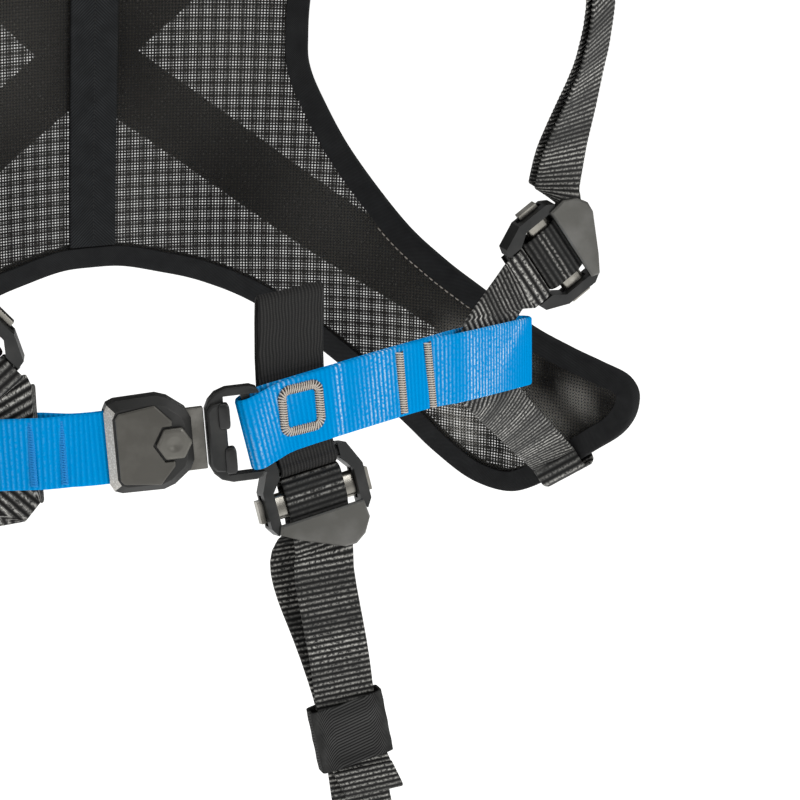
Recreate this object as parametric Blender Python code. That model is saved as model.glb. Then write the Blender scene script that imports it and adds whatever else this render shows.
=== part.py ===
"""Climbing chest harness in its worn form: a mesh back panel with wrapped wings, crossed back webbing,
two shoulder straps with adjusters, a blue chest strap with a push-button buckle, and a lower strap.

Sizes are millimetres. X runs to the picture's right, Y to the back, Z up. Zero is the middle of the back
panel across and front to back, at the height of the chest strap. The finished object is moved so that its
origin is the point between the tops of the two shoulder straps, where it hangs.
"""
import math

import bmesh
import bpy
import numpy as np
from mathutils import Matrix, Vector

MM = 0.001
HANG_POINT = np.array([0.0, -125.0, 252.0])
GAP = 0.35

# Webbing and sheet sizes
BLUE_WIDTH = 29.5
BLUE_THICK = 1.6
WEB_WIDTH = 26.0
WEB_THICK = 1.5
BACK_WEB_WIDTH = 30.0
BACK_WEB_DEPTH = 4.5
CROSSING_REACH = 45.0
LOOP_WIDTH = 29.0
LOOP_BACK_Y = -184.6
MESH_THICK = 3.0
TAPE_THICK = 0.8
BINDING_WIDTH = 9.0
BINDING_GAP = 0.45
BAND_WIDTH = 22.0
BAND_THICK = 1.5

# Form of the back panel: a cylinder whose middle leans forward above the arch and bends over the shoulders
PANEL_RADIUS = 230.0
PANEL_LEAN = 0.138
LEAN_START = 7.5
LEAN_BLEND = 30.0
SHOULDER_START = 150.0
SHOULDER_RADIUS = 120.0
PANEL_ROLL = -0.045
PANEL_GRID = 17.0
GRID_SHIFT = 0.31
OUTLINE_STEP = 10.0

# Plan curve of the chest strap: its foremost point and how fast it falls back to the sides
CHEST_CENTRE_X = 8.0
CHEST_FRONT_Y = -190.0
CHEST_CURVE = 400.0
CHEST_TILT = 0.09
CHEST_TILT_Z = -5.0

# Chest buckle: place and axes (along the strap, up, out)
BUCKLE_ORIGIN = (-37.7, -183.0, -9.6)
BUCKLE_ALONG = (0.970, -0.236, 0.050)
BUCKLE_UP = (-0.09, 0.10, 0.99)
BUCKLE_BAR_ALONG = 37.0
BUCKLE_BAR_HALF = 1.7
BUCKLE_BAR_DEPTH = 1.6
BUCKLE_BAR_LEAN = 0.16
SLOT_END_ALONG = -8.0
SLOT_MOUTH_ALONG = -26.0
SLOT_HALF = (15.3, 2.3)
FRAME_DROP = 0.8
BUTTON_ALONG = 4.6
BUTTON_RADIUS = 7.2
BUTTON_HOLE_RADIUS = 8.3

# Buckle outlines, upper halves, in millimetres from its origin: u along the strap, v up
BODY_HALF = (
    # u, v
    (-21.5, 0), (-21.5, 14.6), (-20.0, 17.6), (-17.0, 18.8), (-0.5, 19.2), (4.0, 17.6), (10.8, 12.2),
    (12.4, 8.6),
)
COVER_HALF = ((-17.6, 12.6), (-16.2, 14.4), (-1.8, 16.2), (4.4, 9.2))
FRAME_HALF = (
    (18.2, 0), (18.2, 11.6), (19.8, 15.0), (22.6, 17.8), (27.0, 19.3), (36.6, 19.3), (39.2, 18.2),
    (40.0, 16.6),
)
SHIELD_HALF = ((18.6, 0), (18.6, 11.4), (20.6, 13.6), (24.4, 14.2), (26.0, 12.0))
FRAME_WINDOW = (25.6, 45.0, -16.2, 16.2)
TONGUE_BOX = (4.0, 17.6, -12.6, 12.6)
MOUTH_BOX = (3.0, 20.0, -13.2, 13.2)

# Levels of a tapered plate: height above the buckle's middle, inset of the outline there
BODY_LEVELS = ((-5.0, 1.6), (-3.4, 0.0), (2.6, 0.0), (5.4, 3.0))
COVER_LEVELS = ((5.7, 0.0), (6.3, 0.0), (6.7, 0.5))
BUTTON_LEVELS = ((5.7, 0.0), (7.2, 0.0), (7.9, 1.0))
FRAME_LEVELS = ((-2.6, 0.6), (-2.0, 0.0), (2.0, 0.0), (2.6, 0.6))
SHIELD_LEVELS = ((0.0, 0.0), (4.2, 0.0), (5.0, 0.8))

# Adjuster: the same metal fitting three times; its long axis runs from the fixed bar to the face plate
FIXED_BAR_V = -17.0
FIXED_BAR_RADIUS = 2.4
SLIDE_BAR_V = -2.0
SLIDE_BAR_W = -1.5
SLIDE_BAR_FLAT = 3.0
BAR_RADIUS = 2.4
CHEEK_INNER = 17.9
CHEEK_OUTER = 22.3
CHEEK_NECK = 13.7
CHEEK_DEPTH = (-4.5, 3.5)
EAR_OUTER = 24.8
EAR_HALF = 4.8
EAR_HALF_DEPTH = 1.8
TAB_HALF = 3.7
TAB_HALF_DEPTH = 1.1
SLOT_REACH = 6.5
SLOT_HALF_DEPTH = 1.5
PLATE_LEVELS = ((2.4, 0.0), (4.3, 0.0), (5.0, 0.8))
MERGE_DISTANCE = 0.02
WRAP_RADIUS = BAR_RADIUS + GAP + WEB_THICK / 2

# Adjuster outlines, in millimetres from its origin: u across, v towards the face plate
PLATE_OUTLINE = (
    # u, v
    (-18.6, 5.0), (18.6, 5.0), (19.8, 8.5), (12.0, 13.0), (-6.0, 21.2), (-11.0, 21.4), (-15.8, 18.4),
    (-19.4, 12.5),
)
CHEEK_OUTLINE = (
    # u, v
    (CHEEK_NECK, -20.6), (17.4, -19.8), (CHEEK_OUTER, -9.6), (CHEEK_OUTER, 5.4), (19.9, 9.0), (CHEEK_INNER, 7.0),
    (CHEEK_INNER, -8.4), (CHEEK_NECK, -13.8),
)

ADJUSTERS = {
    # name: origin, along (towards the plate), across
    "lower": ((27.4, -186.0, -45.2), (0.135, -0.264, -0.954), (-0.990, 0.0, -0.140)),
    "right": ((166.2, -135.0, 28.2), (0.836, -0.032, 0.548), (0.547, -0.043, -0.836)),
    "left": ((-111.6, -159.6, 30.6), (-0.620, 0.250, 0.740), (0.740, -0.280, 0.620)),
}

# Outline of the panel's right half: s is measured round the back, t up it
PANEL_OUTLINE = (
    # s, t
    (0, 6), (14, 5.5), (30, 2), (52, -4), (78, -16), (111, -40),
    (144, -68), (160, -82), (178, -93.4), (196, -96.4), (210, -91), (226, -78.5), (241, -66),
    (254, -55), (261, -44), (262, -33), (256, -26), (242, -23), (226, -19.6), (206, -13),
    (182, 0.6), (163, 12.7), (143.8, 29.2), (119.3, 59.8), (104.4, 85.6), (98.2, 100.5), (97, 113), (97.2, 130),
    (100, 155), (106, 182), (112, 208), (114, 230), (108, 247), (94, 254), (80, 249),
    (70, 232), (60, 212), (46, 198), (25, 190), (0, 188),
)

# Middle line of a crossed back webbing, from the wing's tip to the opposite shoulder
BACK_WEB_LINE = (
    # s, t
    (246, -52), (225, -43), (200, -29), (155, -4), (105, 25), (41, 72), (0, 104),
    (-32, 134), (-60, 163), (-80, 195), (-90, 222), (-94, 246),
)

# Fold line of the front webbing on the wing's lower edge, from its inner to its outer end
FOLD_INNER = (210.0, -92.5)
FOLD_OUTER = (242.0, -68.0)
FOLD_STATIONS = (
    # distance beyond the fold line, height above the panel's middle sheet
    (-38.0, -6.4), (-20.0, -6.4), (-8.0, -6.4), (-1.8, -6.4), (0.4, -5.7), (1.5, -4.0), (1.8, -1.4), (1.6, 1.3),
    (0.8, 3.1), (-1.0, 4.1), (-8.0, 4.3),
)

# Chest strap, right part: middle line and the half gap between its two layers
CHEST_RIGHT = (
    # x, z, half gap
    (6, -6.6, 2.3), (14, -5.0, 0.4), (34, -3.0, 0.2), (60, -1.9, 0.2), (84, -2.5, 0.3),
    (96, -3.8, 2.4), (112, -5.8, 3.1), (130, -8.8, 3.1), (143.5, -11.4, 3.1),
)
CLOSED_HALF_GAP = 0.2
LEAN_ROWS = 3
BAR_LOOP_GAP = 2.9
STRAP_LEAN_RIGHT = -0.06
STRAP_LEAN_LEFT = -0.10
CHEST_LEFT = (
    # x, z, half gap
    (-72, -10.9, 0.3), (-81, -11.0, 2.6), (-96, -11.3, 3.1),
    (-112, -12.4, 3.1), (-127, -14.0, 3.1),
)

# Front webbing where it passes the chest strap's loop: its crease, and where its two edges cross the blue
# strap's lower and upper edge, all as (x, z) on the chest strap's surface
FRONT_WEB = {
    # side: crease x, z and half length, lower crossing, upper crossing
    1: ((99.7, -5.4, 11.0), ((109.0, -27.0), (143.0, -28.0)), ((144.0, 7.0), (105.0, 14.0))),
    -1: ((-84.0, -8.0, 24.0), ((-90.0, -40.0), (-124.0, -31.0)), ((-103.0, 4.8), (-85.5, 20.0))),
}

CREASE_GAP = 0.25
BAR_ENTRY = 6.5
SEWN_TAIL = {1: 11.0, -1: 6.0}

# Shoulder straps, from the panel's shoulder lobe to the adjuster: middle line and width direction
SHOULDER_LINE = (
    # x, y, z, width x, width y, width z
    (94, -116, 250.5, 0.93, -0.28, -0.10),
    (104, -134, 251, 0.95, 0.00, -0.10),
    (125, -147, 242, 0.86, 0.36, 0.05),
    (147, -154.5, 220, 0.76, 0.55, 0.20),
    (162, -158, 192, 0.74, 0.60, 0.24),
    (170.5, -158.5, 165, 0.75, 0.62, 0.20),
    (173.2, -157, 141, 0.76, 0.61, 0.20),
    (173.7, -151, 119, 0.81, 0.57, 0.16),
    (172.8, -145.5, 104.5, 0.86, 0.51, 0.12),
    (171.2, -139.5, 88.5, 0.92, 0.38, 0.04),
    (169.7, -133, 72, 0.97, 0.25, 0.01),
    (169.8, -126.5, 53, 0.96, 0.20, -0.18),
)
SHOULDER_LINE_LEFT = (
    (94, -116, 250.5, 0.93, -0.28, -0.10),
    (104, -134, 251, 0.95, 0.00, -0.10),
    (121, -148, 243, 0.86, 0.34, 0.02),
    (136, -157, 222, 0.78, 0.50, 0.10),
    (143, -161, 194, 0.77, 0.55, 0.08),
    (144, -161, 165, 0.80, 0.50, 0.00),
    (141, -158, 138, 0.83, 0.42, -0.08),
    (136, -155, 112, 0.84, 0.30, -0.16),
    (129.5, -151.5, 86, 0.84, 0.10, -0.28),
    (123.5, -148, 62, 0.80, -0.10, -0.40),
)

# Where the shoulder strap lies on the panel's lobe
LOBE_LINE = (
    # s, t
    (91, 226), (92.5, 236), (94, 246), (95, 256),
)

# How the straps come to a slide bar and leave it: along the adjuster's axis v and outwards w
SHOULDER_WRAP_FRONT = ((13.5, -6.4), (9.0, -2.6), (5.0, 0.3))
SHOULDER_WRAP_REAR = ((6.0, -6.2), (10.5, -8.6), (14.5, -11.6))
LOWER_WRAP_FRONT = ((20.0, -4.0), (12.0, -1.0), (5.0, 0.6))
LOWER_WRAP_REAR = ((5.5, -5.8), (10.5, -8.0))

# Standing loop behind the chest strap: its front, top and rear, with y measured from LOOP_BACK_Y
LOOP_LINE = (
    # x, y, z
    (21.6, -0.1, -13), (18.6, 0.7, 2), (18.3, 1.1, 18), (18.5, 0.6, 34),
    (18.7, 0.7, 42.8), (18.7, 2.5, 44.6), (18.7, 4.3, 42.8),
    (18.5, 4.6, 34), (18.3, 4.6, 18), (18.6, 4.2, 2), (21.6, 4.5, -13),
)
LOOP_NARROW = 25.0

# Lower strap: the bowed stretches of its front and rear strands, and the line that both follow further down
LOWER_FRONT = (
    # x, y, z
    (29.0, -190.0, -76.0), (30.6, -192.5, -92.0), (32.6, -194.2, -107.0), (34.0, -195.3, -120.0),
)
LOWER_REAR = (
    (23.6, -179.6, -67.0), (23.0, -179.5, -77.0), (25.5, -180.5, -89.0), (28.9, -183.5, -101.0),
    (31.8, -189.0, -114.0),
)
LOWER_LINE = (
    (34.9, -195.8, -129.5), (36.0, -196.3, -136.0), (37.6, -197.0, -146.0), (39.6, -197.9, -158.0),
)
FREE_END = (46.0, -199.5, -174.0)
MAIN_END = (
    (41.5, -197.5, -178.0), (45.5, -198.5, -200.0), (48.5, -199.0, -218.0),
)
LOWER_WIDTH = (1.0, -0.06, 0.03)
KEEPER_HEIGHT = 28.0
KEEPER_WALL = 1.1
KEEPER_PLAY = 2.1
KEEPER_PLAY_DEPTH = 1.15
KEEPER_CORNER = 1.2
KEEPER_SHIFT = (-0.6, 0.0, 1.0)
STRAND_STEP = WEB_THICK + GAP + 0.1
TAIL_SHARE = 0.56
TAIL_STEP_LOW = 4.6
TAIL_STEP_TOP = 2.4
END_LOOP_LENGTH = 34.0
END_LOOP_RADIUS = 4.5
END_LOOP_NECK = 7.0
END_LOOP_SEWN = 20.0
FREE_FOLD = 12.5


def linear(hex_colour):
    """Turn an sRGB hex colour into the linear values that a shader takes."""
    values = [int(hex_colour[i:i + 2], 16) / 255 for i in (1, 3, 5)]
    return [v / 12.92 if v <= 0.04045 else ((v + 0.055) / 1.055) ** 2.4 for v in values] + [1.0]


def make_material(name, hex_colour, roughness, metallic=0.0):
    """Make a plain material of one colour."""
    material = bpy.data.materials.new(name)
    material.use_nodes = True
    shader = material.node_tree.nodes["Principled BSDF"]
    shader.inputs["Base Color"].default_value = linear(hex_colour)
    shader.inputs["Roughness"].default_value = roughness
    shader.inputs["Metallic"].default_value = metallic
    return material


def unit(vector):
    """Scale a vector, or each row of an array, to length one."""
    vector = np.asarray(vector, float)
    return vector / np.linalg.norm(vector, axis=-1, keepdims=True)


def axes_from(along, across):
    """Three square axes: the first as given, the second turned square to it, the third their cross product."""
    first = unit(along)
    second = np.asarray(across, float)
    second = unit(second - second.dot(first) * first)
    return first, second, np.cross(first, second)


def adjuster_axes(name):
    """Origin of an adjuster and its axes: across, along (towards the plate) and out (towards the viewer)."""
    origin, along, across = ADJUSTERS[name]
    along, across, back = axes_from(along, across)
    return np.asarray(origin, float), across, along, -back


def add_object(name, points, faces, material):
    """Make a closed mesh object from points in millimetres, measured from the harness's own zero."""
    mesh = bpy.data.meshes.new(name)
    placed = (np.asarray(points, float) - HANG_POINT) * MM
    mesh.from_pydata([tuple(p) for p in placed], [], faces)
    finish_mesh(mesh)
    return link_object(name, mesh, material)


def finish_mesh(mesh):
    """Turn all faces outwards and shade the mesh smooth apart from its sharp edges."""
    shape = bmesh.new()
    shape.from_mesh(mesh)
    bmesh.ops.recalc_face_normals(shape, faces=shape.faces)
    shape.to_mesh(mesh)
    shape.free()
    mesh.shade_smooth()
    mesh.set_sharp_from_angle(angle=math.radians(40))


def link_object(name, mesh, material):
    """Put a mesh in the scene under a name, with one material."""
    item = bpy.data.objects.new(name, mesh)
    item.data.materials.clear()
    item.data.materials.append(material)
    bpy.context.scene.collection.objects.link(item)
    return item


def smooth_rows(rows, steps):
    """Catmull-Rom curve through the rows of a table, with some steps from each row to the next."""
    rows = np.asarray(rows, float)
    padded = np.vstack([2 * rows[0] - rows[1], rows, 2 * rows[-1] - rows[-2]])
    share = np.arange(steps)[:, None] / steps
    result = []
    for i in range(len(rows) - 1):
        a, b, c, d = padded[i:i + 4]
        result.append(0.5 * (2 * b + (c - a) * share + (2 * a - 5 * b + 4 * c - d) * share ** 2
                             + (3 * b - a - 3 * c + d) * share ** 3))
    result.append(rows[-1:])
    return np.vstack(result)


def cut_quad(quad, first_to_third):
    """Cut a quad in two triangles along one of its diagonals."""
    a, b, c, d = quad
    if first_to_third:
        return [(a, b, c), (a, c, d)]
    return [(a, b, d), (b, c, d)]


def strip(name, left, right, thick, material, closed=False, folded=False):
    """Make a flat strap from its two edge lines: each pair of edge points carries a box section.

    A folded strap twists, so its front and back faces are cut along the same, shorter diagonals.
    """
    left = np.asarray(left, float)
    right = np.asarray(right, float)
    middle = (left + right) / 2
    if closed:
        tangent = np.roll(middle, -1, axis=0) - np.roll(middle, 1, axis=0)
    else:
        tangent = np.gradient(middle, axis=0)
    normal = unit(np.cross(tangent, right - left)) * thick / 2
    count = len(left)
    points = np.stack([left + normal, right + normal, right - normal, left - normal], axis=1).reshape(-1, 3)
    faces = []
    for i in range(count if closed else count - 1):
        a = 4 * i
        b = 4 * ((i + 1) % count)
        after = (i + 1) % count
        falling = np.linalg.norm(left[i] - right[after]) < np.linalg.norm(right[i] - left[after])
        for j in range(4):
            k = (j + 1) % 4
            quad = (a + j, a + k, b + k, b + j)
            if folded and j % 2 == 0:
                faces += cut_quad(quad, falling == (j == 0))
            else:
                faces.append(quad)
    if not closed:
        faces.append((0, 1, 2, 3))
        faces.append(tuple(4 * (count - 1) + j for j in (3, 2, 1, 0)))
    return add_object(name, points, faces, material)


def ribbon(name, middle, across, width, thick, material, closed=False, square=True):
    """Make a flat strap along a middle line, its width direction squared to the line if square is set."""
    middle = np.asarray(middle, float)
    if closed:
        tangent = unit(np.roll(middle, -1, axis=0) - np.roll(middle, 1, axis=0))
    else:
        tangent = unit(np.gradient(middle, axis=0))
    across = np.broadcast_to(np.asarray(across, float), middle.shape)
    if square:
        across = across - np.sum(across * tangent, axis=1, keepdims=True) * tangent
    across = unit(across)
    half = np.broadcast_to(np.asarray(width, float).reshape(-1, 1), (len(middle), 1)) / 2
    return strip(name, middle - across * half, middle + across * half, thick, material, closed)


def panel_point(s, t, n=0.0):
    """Place on the back panel: s round the back, t up it, n inwards from its middle sheet."""
    s = np.asarray(s, float)
    t = np.asarray(t, float) + PANEL_ROLL * s

    def sheet(s, t):
        low = np.minimum(t, SHOULDER_START)
        rise = low - LEAN_START
        lean = PANEL_LEAN * 0.5 * (rise + np.sqrt(rise ** 2 + LEAN_BLEND ** 2))
        start = math.atan(PANEL_LEAN)
        turn = start + np.maximum(t - SHOULDER_START, 0) / SHOULDER_RADIUS
        angle = s / PANEL_RADIUS
        x = PANEL_RADIUS * np.sin(angle)
        y = -lean - SHOULDER_RADIUS * (math.cos(start) - np.cos(turn)) - PANEL_RADIUS * (1 - np.cos(angle))
        z = low + SHOULDER_RADIUS * (np.sin(turn) - math.sin(start))
        return np.stack([x, y, z], axis=-1)

    step = 0.05
    along_s = sheet(s + step, t) - sheet(s - step, t)
    along_t = sheet(s, t + step) - sheet(s, t - step)
    return sheet(s, t) + unit(np.cross(along_s, along_t)) * np.asarray(n, float)[..., None]


def mirrored(rows, columns):
    """Copy a table with the sign of some columns changed."""
    rows = np.array(rows, float)
    rows[:, columns] *= -1
    return rows


def panel_loop():
    """The mesh sheet's whole outline as one closed list of (s, t), inside the binding's outer edge."""
    right = np.asarray(PANEL_OUTLINE, float)
    left = mirrored(right[1:-1][::-1], [0])
    ring = np.vstack([right, left])
    ring = np.vstack([ring[-2:], ring, ring[:3]])
    fine = smooth_rows(ring, 12)[24:-24]
    length = np.concatenate([[0], np.cumsum(np.linalg.norm(np.diff(fine, axis=0), axis=1))])
    wanted = np.arange(0.5, int(length[-1] / OUTLINE_STEP)) * OUTLINE_STEP
    loop = np.column_stack([np.interp(wanted, length, fine[:, i]) for i in (0, 1)])
    return loop + inward_of(loop) * (BINDING_GAP + TAPE_THICK)


def inward_of(loop):
    """Unit vectors square to a closed outline that runs with its inside on the left hand."""
    tangent = unit(np.roll(loop, -1, axis=0) - np.roll(loop, 1, axis=0))
    return np.column_stack([-tangent[:, 1], tangent[:, 0]])


def mesh_panel(material):
    """Padded mesh back panel: the flat outline, cut on a grid so that it bends, with two faces and a rim."""
    loop = panel_loop()
    shape = bmesh.new()
    shape.faces.new([shape.verts.new((s, t, 0)) for s, t in loop])
    for axis in (0, 1):
        low = math.floor(loop[:, axis].min() / PANEL_GRID)
        high = math.ceil(loop[:, axis].max() / PANEL_GRID)
        for i in range(low, high + 1):
            place = [0.0, 0.0, 0.0]
            place[axis] = i * PANEL_GRID + GRID_SHIFT
            normal = [0.0, 0.0, 0.0]
            normal[axis] = 1.0
            parts = shape.verts[:] + shape.edges[:] + shape.faces[:]
            bmesh.ops.bisect_plane(shape, geom=parts, plane_co=place, plane_no=normal, dist=0.01)
    bmesh.ops.triangulate(shape, faces=shape.faces)
    shape.verts.index_update()
    flat = np.array([v.co[:2] for v in shape.verts])
    faces = [[v.index for v in f.verts] for f in shape.faces]
    rim = [[v.index for v in e.verts] for e in shape.edges if len(e.link_faces) == 1]
    shape.free()
    count = len(flat)
    inner = panel_point(flat[:, 0], flat[:, 1], np.full(count, MESH_THICK / 2))
    outer = panel_point(flat[:, 0], flat[:, 1], np.full(count, -MESH_THICK / 2))
    solid = faces + [[i + count for i in reversed(f)] for f in faces]
    solid += [[a, b, b + count, a + count] for a, b in rim]
    return add_object("mesh_panel", np.vstack([inner, outer]), solid, material)


def edge_binding(material):
    """Tape folded round the panel's edge: a U section carried along the outline."""
    loop = panel_loop()
    inward = inward_of(loop)
    inside = MESH_THICK / 2 + BINDING_GAP
    outside = inside + TAPE_THICK
    section = (
        (BINDING_WIDTH, outside), (-BINDING_GAP - TAPE_THICK, outside), (-BINDING_GAP - TAPE_THICK, -outside),
        (BINDING_WIDTH, -outside), (BINDING_WIDTH, -inside), (-BINDING_GAP, -inside), (-BINDING_GAP, inside),
        (BINDING_WIDTH, inside),
    )
    rings = []
    for depth, n in section:
        place = loop + inward * depth
        rings.append(panel_point(place[:, 0], place[:, 1], np.full(len(loop), n)))
    points = np.stack(rings, axis=1).reshape(-1, 3)
    size = len(section)
    faces = []
    for i in range(len(loop)):
        a = size * i
        b = size * ((i + 1) % len(loop))
        for j in range(size):
            k = (j + 1) % size
            faces.append((a + j, a + k, b + k, b + j))
    return add_object("edge_binding", points, faces, material)


def centre_band(material):
    """Black tape up the middle of the panel's inner face, between the two bindings."""
    margin = BINDING_WIDTH + BINDING_GAP + TAPE_THICK + 0.9
    t = np.linspace(PANEL_OUTLINE[0][1] + margin, PANEL_OUTLINE[-1][1] - margin, 18)
    n = np.full(len(t), MESH_THICK / 2 + GAP + 0.2 + BAND_THICK / 2)
    edges = [panel_point(np.full(len(t), side * BAND_WIDTH / 2), t, n) for side in (-1, 1)]
    return strip("centre_band", edges[0], edges[1], BAND_THICK, material)


def back_webbing(name, side, over, material):
    """One of the two crossed webbings on the panel's outer face; over is the one that lies outermost."""
    line = smooth_rows(BACK_WEB_LINE, 3)
    tangent = unit(np.gradient(line, axis=0))
    across = np.column_stack([-tangent[:, 1], tangent[:, 0]]) * BACK_WEB_WIDTH / 2
    crossing = np.exp(-(line[:, 0] / CROSSING_REACH) ** 2) * (WEB_THICK + 0.6) if over else 0.0
    n = -(BACK_WEB_DEPTH + crossing) * np.ones(len(line))
    edges = []
    for sign in (-1, 1):
        place = line + sign * across
        edges.append(panel_point(side * place[:, 0], place[:, 1], n))
    return strip(name, edges[0], edges[1], WEB_THICK, material)


def wing_fold(side):
    """Edge pairs of the front webbing where it wraps the wing's lower edge, from the outer face to the inner."""
    inner_end = np.array(FOLD_INNER)
    outer_end = np.array(FOLD_OUTER)
    along = unit(outer_end - inner_end)
    out = np.array([along[1], -along[0]])
    middle = (inner_end + outer_end) / 2
    pairs = []
    for outwards, n in FOLD_STATIONS:
        pair = []
        for sign in (-1, 1):
            place = middle + out * outwards + sign * along * WEB_WIDTH / 2
            pair.append(panel_point(side * place[0], place[1], np.array(n)))
        pairs.append(pair)
    return pairs


def chest_point(x, z, depth=0.0):
    """Place on the chest strap's middle surface; depth is forwards, square to it in plan."""
    y = CHEST_FRONT_Y + (x - CHEST_CENTRE_X) ** 2 / CHEST_CURVE + CHEST_TILT * (z - CHEST_TILT_Z)
    slope = 2 * (x - CHEST_CENTRE_X) / CHEST_CURVE
    forward = np.array([slope, -1.0]) / math.hypot(1.0, slope)
    return np.array([x + forward[0] * depth, y + forward[1] * depth, z])


def front_webbing(name, side, adjuster, material):
    """Webbing from the wing's lower edge, through the chest strap's loop, up to the shoulder adjuster.

    Inside the loop it is folded over on itself along an upright crease, which makes its V shape.
    """
    origin, across, along, out = adjuster_axes(adjuster)
    bar = origin + FIXED_BAR_V * along
    (crease_x, crease_z, half), bottom, top = FRONT_WEB[side]
    layer = WEB_THICK / 2 + CREASE_GAP
    crease = np.array([(crease_x, crease_z - half), (crease_x, crease_z + half)])
    pairs = wing_fold(side)

    def on_chest(ends, depth, shift=0.0):
        return [chest_point(x + shift, z, depth) for x, z in ends]

    lead = np.array(pairs[-1])
    exit_low = np.array(on_chest(bottom, -layer))
    pairs += [lead * (1 - share) + exit_low * share for share in (1 / 3, 2 / 3)]
    for share in (0.0, 0.35, 0.7):
        pairs.append(on_chest(np.array(bottom) * (1 - share) + crease * share, -layer))
    pairs.append(on_chest(crease, -layer))
    pairs.append(on_chest(crease, 0.0, -side * layer))
    pairs.append(on_chest(crease, layer))
    for share in (0.3, 0.65, 1.0):
        pairs.append(on_chest(crease * (1 - share) + np.array(top) * share, layer))
    plus = across * side * WEB_WIDTH / 2
    entry = bar - along * BAR_ENTRY + out * (WRAP_RADIUS + 0.2)
    entry = np.array([entry + plus, entry - plus])
    pairs.append((np.array(pairs[-1]) + entry) / 2)
    pairs.append(entry)
    for degrees in (90, 50, 10, -30, -60, -90):
        angle = math.radians(degrees)
        place = bar + along * WRAP_RADIUS * math.cos(angle) + out * WRAP_RADIUS * math.sin(angle)
        pairs.append([place + plus, place - plus])
    tail = bar - out * WRAP_RADIUS - along * SEWN_TAIL[side]
    pairs.append([tail + plus, tail - plus])
    pairs = np.array(pairs)
    return strip(name, pairs[:, 0], pairs[:, 1], WEB_THICK, material, folded=True)


def loop_path(base, across, half_gaps):
    """Closed path of a double strap: out along the front of its middle line and back behind it."""
    tangent = unit(np.gradient(base, axis=0))
    forward = unit(np.cross(tangent, across))
    offset = (np.asarray(half_gaps) + BLUE_THICK / 2)[:, None]
    front = base + forward * offset
    back = base - forward * offset
    ends = []
    for index, sign in ((-1, 1), (0, -1)):
        arc = []
        for degrees in (30, 60, 90, 120, 150):
            angle = math.radians(degrees)
            arc.append(base[index] + offset[index] * (forward[index] * math.cos(angle) * sign
                                                      + tangent[index] * math.sin(angle) * sign))
        ends.append(np.array(arc))
    path = np.vstack([front, ends[0], back[::-1], ends[1]])
    widths = np.vstack([across, np.repeat(across[-1:], len(ends[0]), axis=0), across[::-1],
                        np.repeat(across[:1], len(ends[1]), axis=0)])
    return path, widths


def chest_strap(name, table, start, start_gap, start_across, lean_x, material):
    """Blue chest strap: a closed double loop from the buckle to the side, open at its end for the webbing."""
    table = np.asarray(table, float)
    start = np.asarray(start, float).reshape(-1, 3)
    base = np.array([chest_point(x, z) for x, z, gap in table])
    base = smooth_rows(np.vstack([start, base]), 2)
    gaps = smooth_rows(np.concatenate([np.full(len(start), start_gap), table[:, 2]])[:, None], 2)[:, 0]
    gaps = np.maximum(gaps, CLOSED_HALF_GAP)
    across = np.repeat(np.array([[lean_x, CHEST_TILT, 1.0]]), len(base), axis=0)
    share = np.clip(1 - np.arange(len(base)) / LEAN_ROWS, 0, 1)[:, None]
    across = unit(across * (1 - share) + np.asarray(start_across) * share)
    tangent = unit(np.gradient(base, axis=0))
    across = unit(across - (1 - share) * np.sum(across * tangent, axis=1, keepdims=True) * tangent)
    path, widths = loop_path(base, across, gaps)
    return ribbon(name, path, widths, BLUE_WIDTH, BLUE_THICK, material, closed=True, square=False)


def prism(outline, low, high):
    """Closed mesh data of an outline (in millimetres) carried from one height to another."""
    count = len(outline)
    points = [(u, v, low) for u, v in outline] + [(u, v, high) for u, v in outline]
    faces = [tuple(reversed(range(count))), tuple(range(count, 2 * count))]
    faces += [(i, (i + 1) % count, (i + 1) % count + count, i + count) for i in range(count)]
    return points, faces


def box_outline(u0, u1, v0, v1):
    """Rectangle as an outline."""
    return [(u0, v0), (u1, v0), (u1, v1), (u0, v1)]


def raw_mesh(name, points, faces):
    """Mesh in metres from local points in millimetres, with outward faces."""
    mesh = bpy.data.meshes.new(name)
    mesh.from_pydata([tuple(c * MM for c in p) for p in points], [], faces)
    finish_mesh(mesh)
    return mesh


def guide(mesh):
    """Add a mesh as a hidden tool object for a Boolean."""
    tool = bpy.data.objects.new(mesh.name + "_guide", mesh)
    tool.hide_render = True
    tool.display_type = "WIRE"
    bpy.context.scene.collection.objects.link(tool)
    return tool


def combine(name, base, steps):
    """Apply a chain of Boolean unions and differences to a base mesh and return the result as a mesh."""
    body = bpy.data.objects.new(name, base)
    bpy.context.scene.collection.objects.link(body)
    tools = []
    for operation, mesh in steps:
        tool = guide(mesh)
        tools.append(tool)
        modifier = body.modifiers.new(operation, "BOOLEAN")
        modifier.operation = operation
        modifier.solver = "EXACT"
        modifier.object = tool
    depsgraph = bpy.context.evaluated_depsgraph_get()
    depsgraph.update()
    result = bpy.data.meshes.new_from_object(body.evaluated_get(depsgraph))
    for item in tools + [body]:
        bpy.data.objects.remove(item)
    result.name = name
    shape = bmesh.new()
    shape.from_mesh(result)
    bmesh.ops.remove_doubles(shape, verts=shape.verts, dist=MERGE_DISTANCE * MM)
    bmesh.ops.triangulate(shape, faces=shape.faces)
    shape.to_mesh(result)
    shape.free()
    finish_mesh(result)
    return result


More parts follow.
